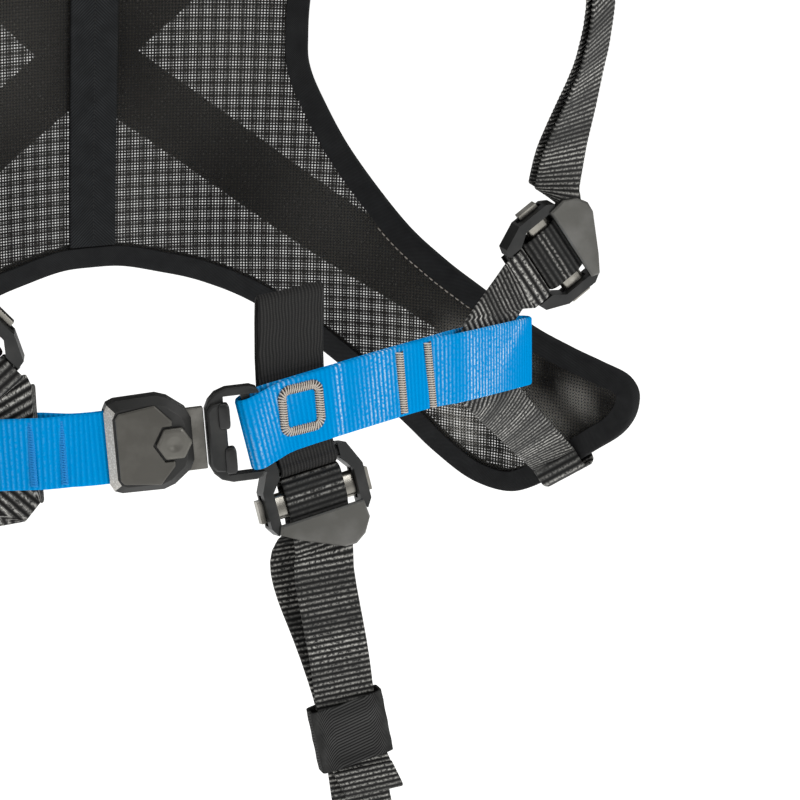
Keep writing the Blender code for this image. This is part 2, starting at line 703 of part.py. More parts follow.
def rod(name, radius, length, sides, v, w, flat):
    """Bar along u through (v, w); its section is a circle pulled out by flat along v, both ways."""
    points = []
    for u in (-length / 2, length / 2):
        for i in range(sides):
            angle = 2 * math.pi * (i + 0.5) / sides
            shift = math.copysign(flat, math.cos(angle))
            points.append((u, v + shift + radius * math.cos(angle), w + radius * math.sin(angle)))
    faces = [tuple(range(sides)), tuple(reversed(range(sides, 2 * sides)))]
    faces += [(i, (i + 1) % sides, (i + 1) % sides + sides, i + sides) for i in range(sides)]
    return raw_mesh(name, points, faces)


def cheek(side):
    """Side plate of an adjuster: its outline in (u, v), wide at the slide bar and narrow at the fixed bar."""
    return raw_mesh("cheek", *prism([(side * u, v) for u, v in CHEEK_OUTLINE], *CHEEK_DEPTH))


def slide_bar_prism(outline, half_depth):
    """Outline carried the same distance in front of and behind the slide bar's middle."""
    return prism(outline, SLIDE_BAR_W - half_depth, SLIDE_BAR_W + half_depth)


def adjuster_frame_mesh():
    """Adjuster frame: two cheeks, a fixed bar between them, a slanted face plate, and slots for the slide bar."""
    base = raw_mesh("adjuster_frame", *tapered(PLATE_OUTLINE, PLATE_LEVELS))
    reach = CHEEK_OUTER + 5.0
    slot = box_outline(-reach, reach, SLIDE_BAR_V - SLOT_REACH, SLIDE_BAR_V + SLOT_REACH)
    steps = [
        ("UNION", cheek(1)), ("UNION", cheek(-1)),
        ("UNION", rod("fixed_bar", FIXED_BAR_RADIUS, 2 * CHEEK_NECK + 2, 10, FIXED_BAR_V, 0.0, 0.0)),
        ("DIFFERENCE", raw_mesh("slots", *slide_bar_prism(slot, SLOT_HALF_DEPTH))),
    ]
    return combine("adjuster_frame", base, steps)


def slide_bar_mesh():
    """Slide bar: a flattened round middle with flat tabs that pass through the cheeks and end in ears."""
    base = rod("slide_bar", BAR_RADIUS, 2 * (CHEEK_INNER - GAP), 16, SLIDE_BAR_V, SLIDE_BAR_W, SLIDE_BAR_FLAT)
    tab = box_outline(0.4 - EAR_OUTER, EAR_OUTER - 0.4, SLIDE_BAR_V - TAB_HALF, SLIDE_BAR_V + TAB_HALF)
    steps = [("UNION", raw_mesh("tab", *slide_bar_prism(tab, TAB_HALF_DEPTH)))]
    for side in (-1, 1):
        low, high = sorted((side * (CHEEK_OUTER + GAP), side * EAR_OUTER))
        ear = box_outline(low, high, SLIDE_BAR_V - EAR_HALF, SLIDE_BAR_V + EAR_HALF)
        steps.append(("UNION", raw_mesh("ear", *slide_bar_prism(ear, EAR_HALF_DEPTH))))
    return combine("slide_bar", base, steps)


def place(item, origin, first, second, third):
    """Set an object's place and turn from an origin in millimetres and its three axes."""
    turn = Matrix((first, second, third)).transposed().to_4x4()
    item.matrix_world = Matrix.Translation(Vector((np.asarray(origin, float) - HANG_POINT) * MM)) @ turn
    return item


def adjusters(steel, nickel):
    """The three adjusters, each a frame and a slide bar that share their meshes."""
    frame_mesh = adjuster_frame_mesh()
    bar_mesh = slide_bar_mesh()
    for name in ADJUSTERS:
        origin, across, along, out = adjuster_axes(name)
        for part, mesh, material in (("frame", frame_mesh, steel), ("slide_bar", bar_mesh, nickel)):
            item = link_object("adjuster_%s_%s" % (part, name), mesh.copy(), material)
            place(item, origin, across, along, out)


def wrap_slide_bar(name, front, rear):
    """Path round an adjuster's slide bar, between a front and a rear strand given as rows of (v, w)."""
    origin, across, along, out = adjuster_axes(name)
    rows = list(front)
    turns = [(1, 65), (1, 90)] + [(-1, degrees) for degrees in (90, 126, 162, 198, 234, 270)] + [(1, 270)]
    for end, degrees in turns:
        angle = math.radians(degrees)
        rows.append((SLIDE_BAR_V + end * SLIDE_BAR_FLAT + WRAP_RADIUS * math.cos(angle),
                     SLIDE_BAR_W + WRAP_RADIUS * math.sin(angle)))
    rows += list(rear)
    return np.array([origin + v * along + w * out for v, w in rows]), across


def shoulder_strap(name, side, adjuster, table, material):
    """Shoulder strap: from the panel's lobe over the shoulder, round the slide bar, and back up as a free tail."""
    table = smooth_rows(table, 3)
    line = table[:, :3] * (side, 1, 1)
    widths = table[:, 3:] * (side, 1, 1)
    lobe = np.array(LOBE_LINE, float)
    heights = np.full(len(lobe), -BACK_WEB_DEPTH - WEB_THICK - GAP - 0.3)
    start = panel_point(side * lobe[:, 0], lobe[:, 1] - PANEL_ROLL * side * lobe[:, 0], heights)
    turn = lobe[:, 0].mean() / PANEL_RADIUS
    start_widths = np.tile([side * math.cos(turn), -math.sin(turn), 0.0], (len(lobe), 1))
    wrap, across = wrap_slide_bar(adjuster, SHOULDER_WRAP_FRONT, SHOULDER_WRAP_REAR)
    if across.dot(widths[-1]) < 0:
        across = -across
    inner = -unit(np.cross(np.gradient(line, axis=0), widths)) * side
    count = int(len(line) * TAIL_SHARE)
    steps = np.linspace(TAIL_STEP_LOW, TAIL_STEP_TOP, count)[:, None]
    tail = line[::-1][:count] + inner[::-1][:count] * steps
    path = np.vstack([start, line, wrap, tail])
    across_all = np.vstack([start_widths, widths, np.tile(across, (len(wrap), 1)), widths[::-1][:count]])
    return ribbon(name, path, across_all, WEB_WIDTH, WEB_THICK, material, square=False)


def sternal_loop(material):
    """Standing loop behind the chest strap that carries the lower adjuster's fixed bar."""
    origin, across, along, out = adjuster_axes("lower")
    bar = origin + FIXED_BAR_V * along
    standing = np.array(LOOP_LINE, float) + (0, LOOP_BACK_Y, 0)
    wrap = []
    for degrees in (-120, -80, -40, 0, 40, 80, 120):
        angle = math.radians(degrees)
        wrap.append(bar + WRAP_RADIUS * (along * math.cos(angle) + out * math.sin(angle)))
    path = np.vstack([standing, wrap])
    widths = np.full(len(path), LOOP_NARROW)
    widths[1:len(standing) - 1] = LOOP_WIDTH
    upright = np.tile([1.0, 0.05, 0.06], (len(path), 1))
    upright[-len(wrap):] = -across
    return ribbon("sternal_loop", path, upright, widths, WEB_THICK, material, closed=True, square=False)


def lower_strap(material):
    """Lower strap: one webbing from the folded free end, round the slide bar, down to the sewn end loop."""
    wrap, across = wrap_slide_bar("lower", LOWER_WRAP_FRONT, LOWER_WRAP_REAR)
    step = np.array([0.0, STRAND_STEP, 0.0])
    line = np.asarray(LOWER_LINE)
    front = smooth_rows(np.vstack([wrap[0], LOWER_FRONT, line, [FREE_END]]), 2)[1:]
    rear = smooth_rows(np.vstack([wrap[-1], LOWER_REAR, line + step, MAIN_END]), 2)[1:]
    down = unit(rear[-1] - rear[-2])
    behind = np.cross(unit(LOWER_WIDTH), down)
    bottom = rear[-1] + down * (END_LOOP_LENGTH - END_LOOP_RADIUS)
    eye = []
    for degrees in (0, 45, 90, 135, 180):
        angle = math.radians(degrees)
        turn = behind * (1 - math.cos(angle)) + down * math.sin(angle)
        eye.append(bottom + END_LOOP_RADIUS * turn)
    eye.append(rear[-1] + behind * 2 * END_LOOP_RADIUS + down * END_LOOP_NECK)
    eye.append(rear[-1] + behind * STRAND_STEP - down * END_LOOP_NECK)
    eye.append(rear[-1] + behind * STRAND_STEP - down * END_LOOP_SEWN)
    up = unit(front[-2] - front[-1])
    fold = front[-1] - step
    tail = [fold + up * FREE_FOLD, fold + up * 1.5, front[-1] - step / 2 - up * 1.2]
    path = np.vstack([tail, front[::-1], wrap, rear, eye])
    widths = np.tile(LOWER_WIDTH, (len(path), 1))
    start = len(tail) + len(front)
    widths[start:start + len(wrap)] = -across
    return ribbon("lower_strap", path, widths, WEB_WIDTH, WEB_THICK, material, square=False)


def keeper(material):
    """Elastic keeper: a flat ring round both strands of the lower strap."""
    line = np.asarray(LOWER_LINE)
    down = unit(line[-1] - line[1])
    across = unit(np.asarray(LOWER_WIDTH) - np.dot(LOWER_WIDTH, down) * down)
    out = np.cross(across, down)
    centre = (line[1] + line[-1]) / 2 + KEEPER_SHIFT + np.array([0.0, STRAND_STEP / 2, 0.0])
    half_width = WEB_WIDTH / 2 + KEEPER_PLAY
    half_depth = STRAND_STEP + KEEPER_PLAY_DEPTH
    rings = []
    for level in (-KEEPER_HEIGHT / 2, KEEPER_HEIGHT / 2):
        for grow in (0.0, KEEPER_WALL):
            a = half_width + grow
            b = half_depth + grow
            cut = KEEPER_CORNER
            right = [(a - cut, -b), (a, cut - b), (a, b - cut), (a - cut, b)]
            ring = right + [(-u, -v) for u, v in right]
            rings.append([centre + across * u + out * v + down * level for u, v in ring])
    count = len(rings[0])
    faces = []
    for i in range(count):
        j = (i + 1) % count
        for first, second in ((0, 2), (1, 3), (0, 1), (2, 3)):
            a = first * count
            b = second * count
            faces.append((a + i, a + j, b + j, b + i))
    return add_object("elastic_keeper", np.array(rings).reshape(-1, 3), faces, material)


def mirrored_ring(half):
    """Close an outline given for positive second values over the first axis."""
    return list(half) + [(u, -v) for u, v in reversed(half) if v > 0]


def chest_buckle(shell, plate, dark, bright):
    """Push-button chest buckle: body, cover plate, button, latch tongue and the frame that holds the strap."""
    along, up, out = axes_from(BUCKLE_ALONG, BUCKLE_UP)
    body = raw_mesh("buckle_body", *tapered(mirrored_ring(BODY_HALF), BODY_LEVELS))
    half_height, half_depth = SLOT_HALF
    slot = box_outline(-30, SLOT_END_ALONG + 0.8, -half_height, half_height)
    slot = raw_mesh("slot", *prism(slot, -half_depth, half_depth))
    mouth = box_outline(MOUTH_BOX[0], MOUTH_BOX[1], MOUTH_BOX[2] - FRAME_DROP, MOUTH_BOX[3] - FRAME_DROP)
    mouth = raw_mesh("mouth", *prism(mouth, -2.1, 1.9))
    body = combine("buckle_body", body, [("DIFFERENCE", slot), ("DIFFERENCE", mouth)])
    cover = raw_mesh("buckle_cover", *tapered(mirrored_ring(COVER_HALF), COVER_LEVELS))
    hole = raw_mesh("hole", *prism(hexagon(BUTTON_ALONG, BUTTON_HOLE_RADIUS), 4.0, 9.0))
    cover = combine("buckle_cover", cover, [("DIFFERENCE", hole)])
    button = raw_mesh("push_button", *tapered(hexagon(BUTTON_ALONG, BUTTON_RADIUS), BUTTON_LEVELS))
    tongue = raw_mesh("latch_tongue", *prism(box_outline(*TONGUE_BOX), -1.7, 1.5))
    pieces = [
        ("buckle_body", body, shell), ("buckle_cover", cover, plate), ("push_button", button, plate),
        ("latch_tongue", tongue, bright),
    ]
    pieces.append(("strap_frame", strap_frame_mesh(), dark))
    for name, mesh, material in pieces:
        drop = FRAME_DROP if name in ("latch_tongue", "strap_frame") else 0.0
        place(link_object(name, mesh, material), np.asarray(BUCKLE_ORIGIN) - up * drop, along, up, out)


def hexagon(centre, radius):
    """Hexagon with points up and down the strap, as an outline."""
    angles = [math.radians(60 * i) for i in range(6)]
    return [(centre + radius * math.cos(angle), radius * math.sin(angle)) for angle in angles]


def tapered(outline, levels):
    """Closed mesh data of an outline carried through levels of (height, inset towards its middle)."""
    outline = np.asarray(outline, float)
    centre = (outline.max(axis=0) + outline.min(axis=0)) / 2
    size = (outline.max(axis=0) - outline.min(axis=0)) / 2
    count = len(outline)
    points = []
    for height, inset in levels:
        ring = centre + (outline - centre) * (size - inset) / size
        points += [(u, v, height) for u, v in ring]
    faces = [tuple(reversed(range(count)))]
    for level in range(len(levels) - 1):
        a = level * count
        for i in range(count):
            j = (i + 1) % count
            faces.append((a + i, a + j, a + j + count, a + i + count))
    faces.append(tuple(range(len(points) - count, len(points))))
    return points, faces


def strap_frame_mesh():
    """Frame on the chest strap's right part: arms, a curved front plate and the bar that the strap is sewn round."""
    base = raw_mesh("strap_frame", *tapered(mirrored_ring(FRAME_HALF), FRAME_LEVELS))
    window = raw_mesh("window", *prism(box_outline(*FRAME_WINDOW), -6.0, 6.0))
    shield = raw_mesh("shield", *tapered(mirrored_ring(SHIELD_HALF), SHIELD_LEVELS))
    reach = FRAME_WINDOW[3] + 0.8
    lean = reach * BUCKLE_BAR_LEAN
    low = BUCKLE_BAR_ALONG - BUCKLE_BAR_HALF
    high = BUCKLE_BAR_ALONG + BUCKLE_BAR_HALF
    bar_outline = [(low + lean, -reach), (high + lean, -reach), (high - lean, reach), (low - lean, reach)]
    bar = raw_mesh("bar", *prism(bar_outline, -BUCKLE_BAR_DEPTH, BUCKLE_BAR_DEPTH))
    return combine("strap_frame", base, [("DIFFERENCE", window), ("UNION", shield), ("UNION", bar)])


def build():
    """Clear the scene and make every piece."""
    for item in list(bpy.data.objects):
        bpy.data.objects.remove(item)
    mesh_cloth = make_material("polyester_mesh", "#6b655c", 0.9)
    black_tape = make_material("black_binding_tape", "#242526", 0.85)
    black_web = make_material("black_webbing", "#2c2c2c", 0.8)
    blue_web = make_material("blue_webbing", "#0090dc", 0.7)
    elastic = make_material("black_elastic", "#303030", 0.85)
    steel = make_material("dark_coated_steel", "#4a4b4b", 0.4, 0.8)
    nickel = make_material("nickel_steel", "#b8b4ac", 0.3, 1.0)
    shell = make_material("anodised_dark_alloy", "#3a3a39", 0.4, 0.8)
    plate = make_material("grey_cover_plate", "#5f5d58", 0.5, 0.5)

    mesh_panel(mesh_cloth)
    edge_binding(black_tape)
    centre_band(black_tape)
    back_webbing("back_webbing_right", 1, False, black_web)
    back_webbing("back_webbing_left", -1, True, black_web)
    adjusters(steel, nickel)
    chest_buckle(shell, plate, steel, nickel)

    along, up = axes_from(BUCKLE_ALONG, BUCKLE_UP)[:2]
    bar = np.asarray(BUCKLE_ORIGIN) + BUCKLE_BAR_ALONG * along - up * FRAME_DROP
    bar_axis = up - BUCKLE_BAR_LEAN * along
    chest_strap("chest_strap_right", CHEST_RIGHT, bar, BAR_LOOP_GAP, bar_axis, STRAP_LEAN_RIGHT, blue_web)
    slot = [np.asarray(BUCKLE_ORIGIN) + u * along for u in (SLOT_END_ALONG - 2.0, SLOT_MOUTH_ALONG)]
    chest_strap("chest_strap_left", CHEST_LEFT, slot, CLOSED_HALF_GAP, up, STRAP_LEAN_LEFT, blue_web)
    front_webbing("front_webbing_right", 1, "right", black_web)
    front_webbing("front_webbing_left", -1, "left", black_web)
    shoulder_strap("shoulder_strap_right", 1, "right", SHOULDER_LINE, black_web)
    shoulder_strap("shoulder_strap_left", -1, "left", SHOULDER_LINE_LEFT, black_web)
    sternal_loop(black_web)
    lower_strap(black_web)
    keeper(elastic)


build()
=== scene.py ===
# %% [markdown]
# # A climbing chest harness
#
# The real thing is sewn from a see-through mesh back, black and blue polyester webbing, and a few metal
# fittings. The imported CAD model gives every piece its place. This lesson keeps those places and adds what
# the eye looks for: woven ribs, see-through mesh, sewing threads, and metal with soft edges. It starts by
# loading the frame.

# %% Load the imported model
import math

import bmesh
import bpy
import numpy as np
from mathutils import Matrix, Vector


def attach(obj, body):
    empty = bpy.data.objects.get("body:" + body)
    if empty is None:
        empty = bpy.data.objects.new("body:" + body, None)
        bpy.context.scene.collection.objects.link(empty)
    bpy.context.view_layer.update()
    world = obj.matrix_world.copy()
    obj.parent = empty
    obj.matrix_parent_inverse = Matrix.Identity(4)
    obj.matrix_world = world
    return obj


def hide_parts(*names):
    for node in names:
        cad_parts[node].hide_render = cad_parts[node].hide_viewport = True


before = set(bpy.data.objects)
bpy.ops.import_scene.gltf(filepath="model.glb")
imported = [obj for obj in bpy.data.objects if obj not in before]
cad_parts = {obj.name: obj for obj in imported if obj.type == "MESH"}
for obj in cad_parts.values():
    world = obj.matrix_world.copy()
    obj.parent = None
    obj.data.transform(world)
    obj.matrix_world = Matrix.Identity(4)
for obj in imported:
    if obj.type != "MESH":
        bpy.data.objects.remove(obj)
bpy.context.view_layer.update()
print("nodes:", len(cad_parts))

# %% [markdown]
# ## Units and small tools
#
# The sizes below are the CAD source's own, in millimetres, measured from the middle of the back panel at
# the height of the chest strap. The object's origin is the point between the tops of the shoulder straps,
# so one function moves every finished surface there and turns it to metres. GAP is the free space between
# a strap and what it lies on.

# %% Units and vectors
MM = 0.001
HANG_POINT = np.array([0.0, -125.0, 252.0])
GAP = 0.35
WEB_WIDTH = 26.0
WEB_THICK = 1.5
BLUE_WIDTH = 29.5
BLUE_THICK = 1.6


def unit(vectors):
    """Each vector divided by its length."""
    vectors = np.asarray(vectors, float)
    return vectors / np.linalg.norm(vectors, axis=-1, keepdims=True)


def axes_from(along, across):
    """Three square axes: along, across made square to it, and along crossed with across."""
    first = unit(along)
    second = np.asarray(across, float)
    second = unit(second - second.dot(first) * first)
    return first, second, np.cross(first, second)


def smooth_rows(rows, steps):
    """Catmull-Rom curve through table rows: a cubic whose slope at each row is half the step over it."""
    rows = np.asarray(rows, float)
    padded = np.vstack([2 * rows[0] - rows[1], rows, 2 * rows[-1] - rows[-2]])
    share = (np.arange(steps) / steps)[None, :, None]
    a, b, c, d = (padded[i:len(padded) - 3 + i, None, :] for i in range(4))
    curve = 0.5 * (2 * b + (c - a) * share + (2 * a - 5 * b + 4 * c - d) * share ** 2
                   + (3 * b - a - 3 * c + d) * share ** 3)
    return np.vstack([curve.reshape(-1, rows.shape[1]), rows[-1:]])


def soften(rows, sigma, closed):
    """Each row replaced by the mean of its neighbours, weighted with a bell curve sigma rows wide."""
    reach = int(3 * sigma) + 1
    weights = np.exp(-0.5 * (np.arange(-reach, reach + 1) / sigma) ** 2)
    weights /= weights.sum()
    if closed:
        padded = np.vstack([rows[-reach:], rows, rows[:reach]])
    else:
        padded = np.vstack([2 * rows[0] - rows[reach:0:-1], rows, 2 * rows[-1] - rows[-2:-reach - 2:-1]])
    return np.column_stack([np.convolve(column, weights, "valid") for column in padded.T])


def arc_length(rows, least=0.0):
    """Distance walked along rows of points, 0 at the first; each step counts as its length plus least."""
    return np.concatenate([[0], np.cumsum(np.linalg.norm(np.diff(rows, axis=0), axis=1) + least)])


def rows_at(at, length, rows):
    """Rows of a table read at new distances, with each column filled in by straight lines."""
    return np.column_stack([np.interp(at, length, column) for column in rows.T])


# %% [markdown]
# ## From grids of points to meshes
#
# Every strap, tape and cord of thread here is a grid: rows along the piece, columns round its section.
# The faces come from the grid's row and column numbers. The same numbers carry the pattern coordinates,
# in millimetres across and along the piece, so that a rib is the same size on every strap.

# %% Mesh from a grid
UV_NAME = "strap_mm"
SMOOTH_ANGLE = math.radians(50)


def make_piece(name, points, faces, corner_uv, materials, replaces=()):
    """Put points (mm) and faces in a mesh, turn its faces outwards, and tie the piece to the frame."""
    mesh = bpy.data.meshes.new(name)
    mesh.from_pydata(((points - HANG_POINT) * MM).tolist(), [], faces)
    layer = mesh.uv_layers.new(name=UV_NAME)
    layer.data.foreach_set("uv", np.asarray(corner_uv, float).ravel())
    shape = bmesh.new()
    shape.from_mesh(mesh)
    bmesh.ops.recalc_face_normals(shape, faces=shape.faces)
    shape.to_mesh(mesh)
    shape.free()
    for material in materials:
        mesh.materials.append(material)
    mesh.shade_smooth()
    mesh.set_sharp_from_angle(angle=SMOOTH_ANGLE)
    return adopt(name, mesh, replaces)


def adopt(name, mesh, replaces=()):
    """Tie a mesh to the frame's one body and hide the nodes that it stands for."""
    piece = bpy.data.objects.new(name, mesh)
    bpy.context.scene.collection.objects.link(piece)
    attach(piece, "root")
    if replaces:
        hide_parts(*replaces)
    print(name, "faces:", len(mesh.polygons))
    return piece


def grid_faces(rows, columns, wrap_rows):
    """Quads of a grid that is closed round its columns, as row and column numbers of their corners."""
    r, c = np.meshgrid(np.arange(rows if wrap_rows else rows - 1), np.arange(columns), indexing="ij")
    row = np.stack([r, r + 1, r + 1, r], axis=-1).reshape(-1, 4)
    column = np.stack([c, c, c + 1, c + 1], axis=-1).reshape(-1, 4)
    return row, column


def tube_piece(name, points, uv, closed, length, material, replaces=()):
    """Closed body from a grid of section rings: quads round it, and a face over each end if it is open."""
    rows, columns = points.shape[:2]
    row, column = grid_faces(rows, columns, closed)
    corner = (row % rows) * columns + column % columns
    corner_uv = uv.reshape(-1, 2)[corner] + (row >= rows)[..., None] * np.array([0.0, length])
    faces = corner.tolist()
    corner_uv = corner_uv.reshape(-1, 2)
    if not closed:
        last = (rows - 1) * columns
        ends = [list(range(columns)), [last + i for i in range(columns)]]
        faces += ends
        corner_uv = np.vstack([corner_uv] + [uv.reshape(-1, 2)[end] for end in ends])
    return make_piece(name, points.reshape(-1, 3), faces, corner_uv, [material], replaces)


# %% [markdown]
# ## Colours and material nodes
#
# A shader works in linear light, and a picked colour is sRGB, so one function turns one into the other.
# One more function adds a node, sets it and links it. Some nodes have an output for each kind of value,
# of which only the chosen kind is live, so the function hands back the first live one. Patterns read the
# piece's own map in millimetres.

# %% Colour and node helpers
def linear(hex_colour):
    """Linear value of each channel: v / 12.92 when dark, else ((v + 0.055) / 1.055) to the power 2.4."""
    values = [int(hex_colour[i:i + 2], 16) / 255 for i in (1, 3, 5)]
    return [v / 12.92 if v <= 0.04045 else ((v + 0.055) / 1.055) ** 2.4 for v in values] + [1.0]


def add_node(tree, kind, inputs, **settings):
    """Add a node with its settings and inputs, where text is a colour, and hand back its live output."""
    item = tree.nodes.new(kind)
    for key, value in settings.items():
        setattr(item, key, value)
    for key, value in inputs.items():
        if isinstance(value, bpy.types.NodeSocket):
            tree.links.new(value, item.inputs[key])
        else:
            item.inputs[key].default_value = linear(value) if isinstance(value, str) else value
    return next(output for output in item.outputs if output.enabled)


def new_material(name, roughness, **values):
    """A Principled material with plain values on its sockets; an underscore in a name stands for a space."""
    material = bpy.data.materials.new(name)
    material.use_nodes = True
    shader = material.node_tree.nodes["Principled BSDF"]
    shader.inputs["Roughness"].default_value = roughness
    for key, value in values.items():
        shader.inputs[key.replace("_", " ")].default_value = value
    return material, material.node_tree, shader


def plug(tree, shader, patterns):
    """Link each finished pattern to the shader's socket of that name."""
    for socket, pattern in patterns.items():
        tree.links.new(pattern, shader.inputs[socket])


def split_map(tree):
    """The piece's own map as one socket, and as millimetres across the piece and along it."""
    place = add_node(tree, "ShaderNodeUVMap", {}, uv_map=UV_NAME)
    across = add_node(tree, "ShaderNodeSeparateXYZ", {0: place})
    return place, across, across.node.outputs[1]


def wave(tree, distance, pitch):
    """Smooth ridges: 0.5 - 0.5 cos(2 pi distance / pitch), so 0 in each groove and 1 on each ridge."""
    turn = add_node(tree, "ShaderNodeMath", {0: distance, 1: 2 * math.pi / pitch}, operation="MULTIPLY")
    swing = add_node(tree, "ShaderNodeMath", {0: turn}, operation="COSINE")
    return add_node(tree, "ShaderNodeMath", {0: swing, 1: -0.5, 2: 0.5}, operation="MULTIPLY_ADD")


# %% [markdown]
# ## Webbing
#
# Harness webbing is polyester woven narrow and thick: filler yarns run across it and make a rib every two
# millimetres or so, and shiny warp yarns run over them. The ribs are real relief in the mesh. The
# material adds painted shade in the groove between ribs, the glint of the warp on each rib as a painted
# highlight, and single warp yarns. What the eye sees first is where the glint is, because a strap shines
# only where it bends towards the light. So each strap carries a glint value of its own at every point.

# %% Webbing material
RIB_PITCH = 2.4
YARN_PITCH = 0.62
CREST_POWER = 2.5
SPECK_SCALE = 0.85
SPECK_LOW = 0.38
SPECK_HIGH = 0.6
WEBBING_BUMP = 0.00025
BLACK_GLOSS = 0.2


def webbing_material(name, groove_shade, rib, glint, pitch, gloss):
    """Painted shade in grooves, lighter ribs; a painted highlight on crests where glint and noise allow it.
    """
    material, tree, shader = new_material(name, 0.6, Specular_IOR_Level=gloss)
    place, across, along = split_map(tree)
    ridge = wave(tree, along, pitch)
    yarn = wave(tree, across, YARN_PITCH)
    crest = add_node(tree, "ShaderNodeMath", {0: ridge, 1: CREST_POWER}, operation="POWER")
    speck = add_node(tree, "ShaderNodeTexNoise", {"Vector": place, "Scale": SPECK_SCALE, "Detail": 3.0})
    broken = add_node(tree, "ShaderNodeMapRange", {0: speck, 1: SPECK_LOW, 2: SPECK_HIGH, 3: 0.0, 4: 1.0})
    zone = add_node(tree, "ShaderNodeAttribute", {}, attribute_name="glint").node.outputs["Fac"]
    dots = add_node(tree, "ShaderNodeMath", {0: yarn, 1: 0.5, 2: 0.5}, operation="MULTIPLY_ADD")
    glow = crest
    for limit in (broken, zone, dots):
        glow = add_node(tree, "ShaderNodeMath", {0: glow, 1: limit}, operation="MULTIPLY")
    # Painted shade: the grooves get the dark colour, the rib tops the lighter one.
    rib_shading = add_node(tree, "ShaderNodeMix", {0: ridge, 6: groove_shade, 7: rib}, data_type="RGBA")
    # Painted highlight: the glint colour on the crests, as much as glow allows.
    colour = add_node(tree, "ShaderNodeMix", {0: glow, 6: rib_shading, 7: glint}, data_type="RGBA")
    height = add_node(tree, "ShaderNodeMath", {0: yarn, 1: 0.35, 2: ridge}, operation="MULTIPLY_ADD")
    bump = add_node(tree, "ShaderNodeBump", {"Strength": 0.5, "Distance": WEBBING_BUMP, "Height": height})
    plug(tree, shader, {"Base Color": colour, "Normal": bump})
    return material


# Black webbing: painted groove shade, a lighter rib tone and a painted glint highlight.
black_webbing = webbing_material("black_polyester_webbing", groove_shade="#060606", rib="#2e2e2d", glint="#d2d0ca",
                                 pitch=RIB_PITCH, gloss=BLACK_GLOSS)
print("material:", black_webbing.name)

# %% [markdown]
# ## A strap as a surface
#
# A strap is given by its two edges. The edges are put at even steps, a fifth of a rib, and softened a
# little, because thick webbing makes no sharp bend. The section is flat with rounded edges, and the ribs
# stand on both faces: height times the ridge wave, fading to nothing at the woven edge. Where a strap is
# folded askew its ribs cross the grid's rows at a slant, so such a strap gets a finer section.

# %% Strap surface
ROWS_PER_RIB = 5
SECTION = np.array([-1.0, -0.99, -0.955, -0.9, -0.7, -0.4, -0.1, 0.2, 0.5, 0.78, 0.93, 0.975, 1.0])
EDGE_SHARE = 0.07
FEWEST_ROWS = 8
LEAST_STEP = 1e-6
GLINT_MEAN = 0.62
GLINT_SWING = 0.5
GLINT_WAVES = (4.3, 11.0)
RIB_SHAPE = 0.7
SWAY = 0.3
SWAY_WAVES = (7.3, 3.1)
LONG_RIBS = 40
FINE_SECTION = np.concatenate([SECTION[:4], np.linspace(-0.86, 0.86, 44), -SECTION[3::-1]])


def even_edges(left, right, step, closed, sigma_mm):
    """Edge lines re-spaced evenly along their middle line, then softened over sigma_mm."""
    rows = np.hstack([left, right])
    if closed:
        rows = np.vstack([rows, rows[:1]])
    middle = (rows[:, :3] + rows[:, 3:]) / 2
    length = arc_length(middle, LEAST_STEP)
    count = max(FEWEST_ROWS, int(length[-1] / step))
    at = np.linspace(0, length[-1], count + 1)
    fine = rows_at(at, length, rows)
    if closed:
        fine = fine[:-1]
        at = at[:-1]
    return soften(fine, sigma_mm / (length[-1] / count), closed), at, length[-1]


def scattered(points, along):
    """Default painted highlight share: two slow waves along the strap, multiplied, so some ribs shine and
    others don't.
    """
    short, long = GLINT_WAVES
    return GLINT_MEAN + GLINT_SWING * np.sin(along / short + 1.0) * np.sin(along / long)


def strap(name, left, right, thick, material, closed=False, pitch=RIB_PITCH,
          relief=0.3, lengthwise=0.0, sigma_mm=1.0, folded=False, glints=scattered):
    """Body in place of the node called name: middle + across * a + normal * b, where b has the ribs."""
    edges, at, length = even_edges(left, right, pitch / ROWS_PER_RIB, closed, sigma_mm)
    middle = (edges[:, :3] + edges[:, 3:]) / 2
    across = (edges[:, 3:] - edges[:, :3]) / 2
    if closed:
        tangent = np.roll(middle, -1, axis=0) - np.roll(middle, 1, axis=0)
        whole = max(1, round(length / pitch))
        at = at * whole * pitch / length
        length = whole * pitch
    else:
        tangent = np.gradient(middle, axis=0)
    normal = unit(np.cross(tangent, across))
    section = FINE_SECTION if folded else SECTION
    share = np.concatenate([section, section[-2:0:-1]])
    side = np.concatenate([np.ones(len(section)), -np.ones(len(section) - 2)])
    edge = np.clip((np.abs(share) - 1 + EDGE_SHARE) / EDGE_SHARE, 0, 1)
    flat = np.sqrt(1 - edge ** 2)
    along = np.repeat(at[:, None], len(share), axis=1)
    if folded:
        along = along + share[None, :] * np.sum(across * unit(tangent), axis=1, keepdims=True)
    ribs = (0.5 - 0.5 * np.cos(2 * np.pi * along / pitch)) ** RIB_SHAPE
    sway = 1 + SWAY * np.sin(along / SWAY_WAVES[0]) * np.sin(along / SWAY_WAVES[1] + 2)
    high = thick / 2 - relief + relief * (ribs * sway).clip(0, 1)
    if lengthwise:
        high = high + lengthwise * np.cos(share * LONG_RIBS)[None, :]
    high = high * (flat * side)[None, :]
    points = (middle[:, None, :] + across[:, None, :] * share[None, :, None]
              + normal[:, None, :] * high[..., None])
    half = np.linalg.norm(across, axis=1)
    uv = np.stack([share[None, :] * half[:, None], along], axis=-1)
    piece = tube_piece(name, points, uv, closed, length, material, [name])
    # glint: the share of painted highlight at each point of the strap.
    layer = piece.data.attributes.new("glint", "FLOAT", "POINT")
    layer.data.foreach_set("value", np.clip(glints(points, along), 0, 1).ravel())
    print(name, "length: %.0f mm" % length)


def band_edges(middle, across, width):
    """Edges of a strap: its middle line less and plus half the width along the width direction."""
    across = unit(np.broadcast_to(np.asarray(across, float), middle.shape))
    half = np.broadcast_to(np.asarray(width, float).reshape(-1, 1), (len(middle), 1)) / 2
    return middle - across * half, middle + across * half


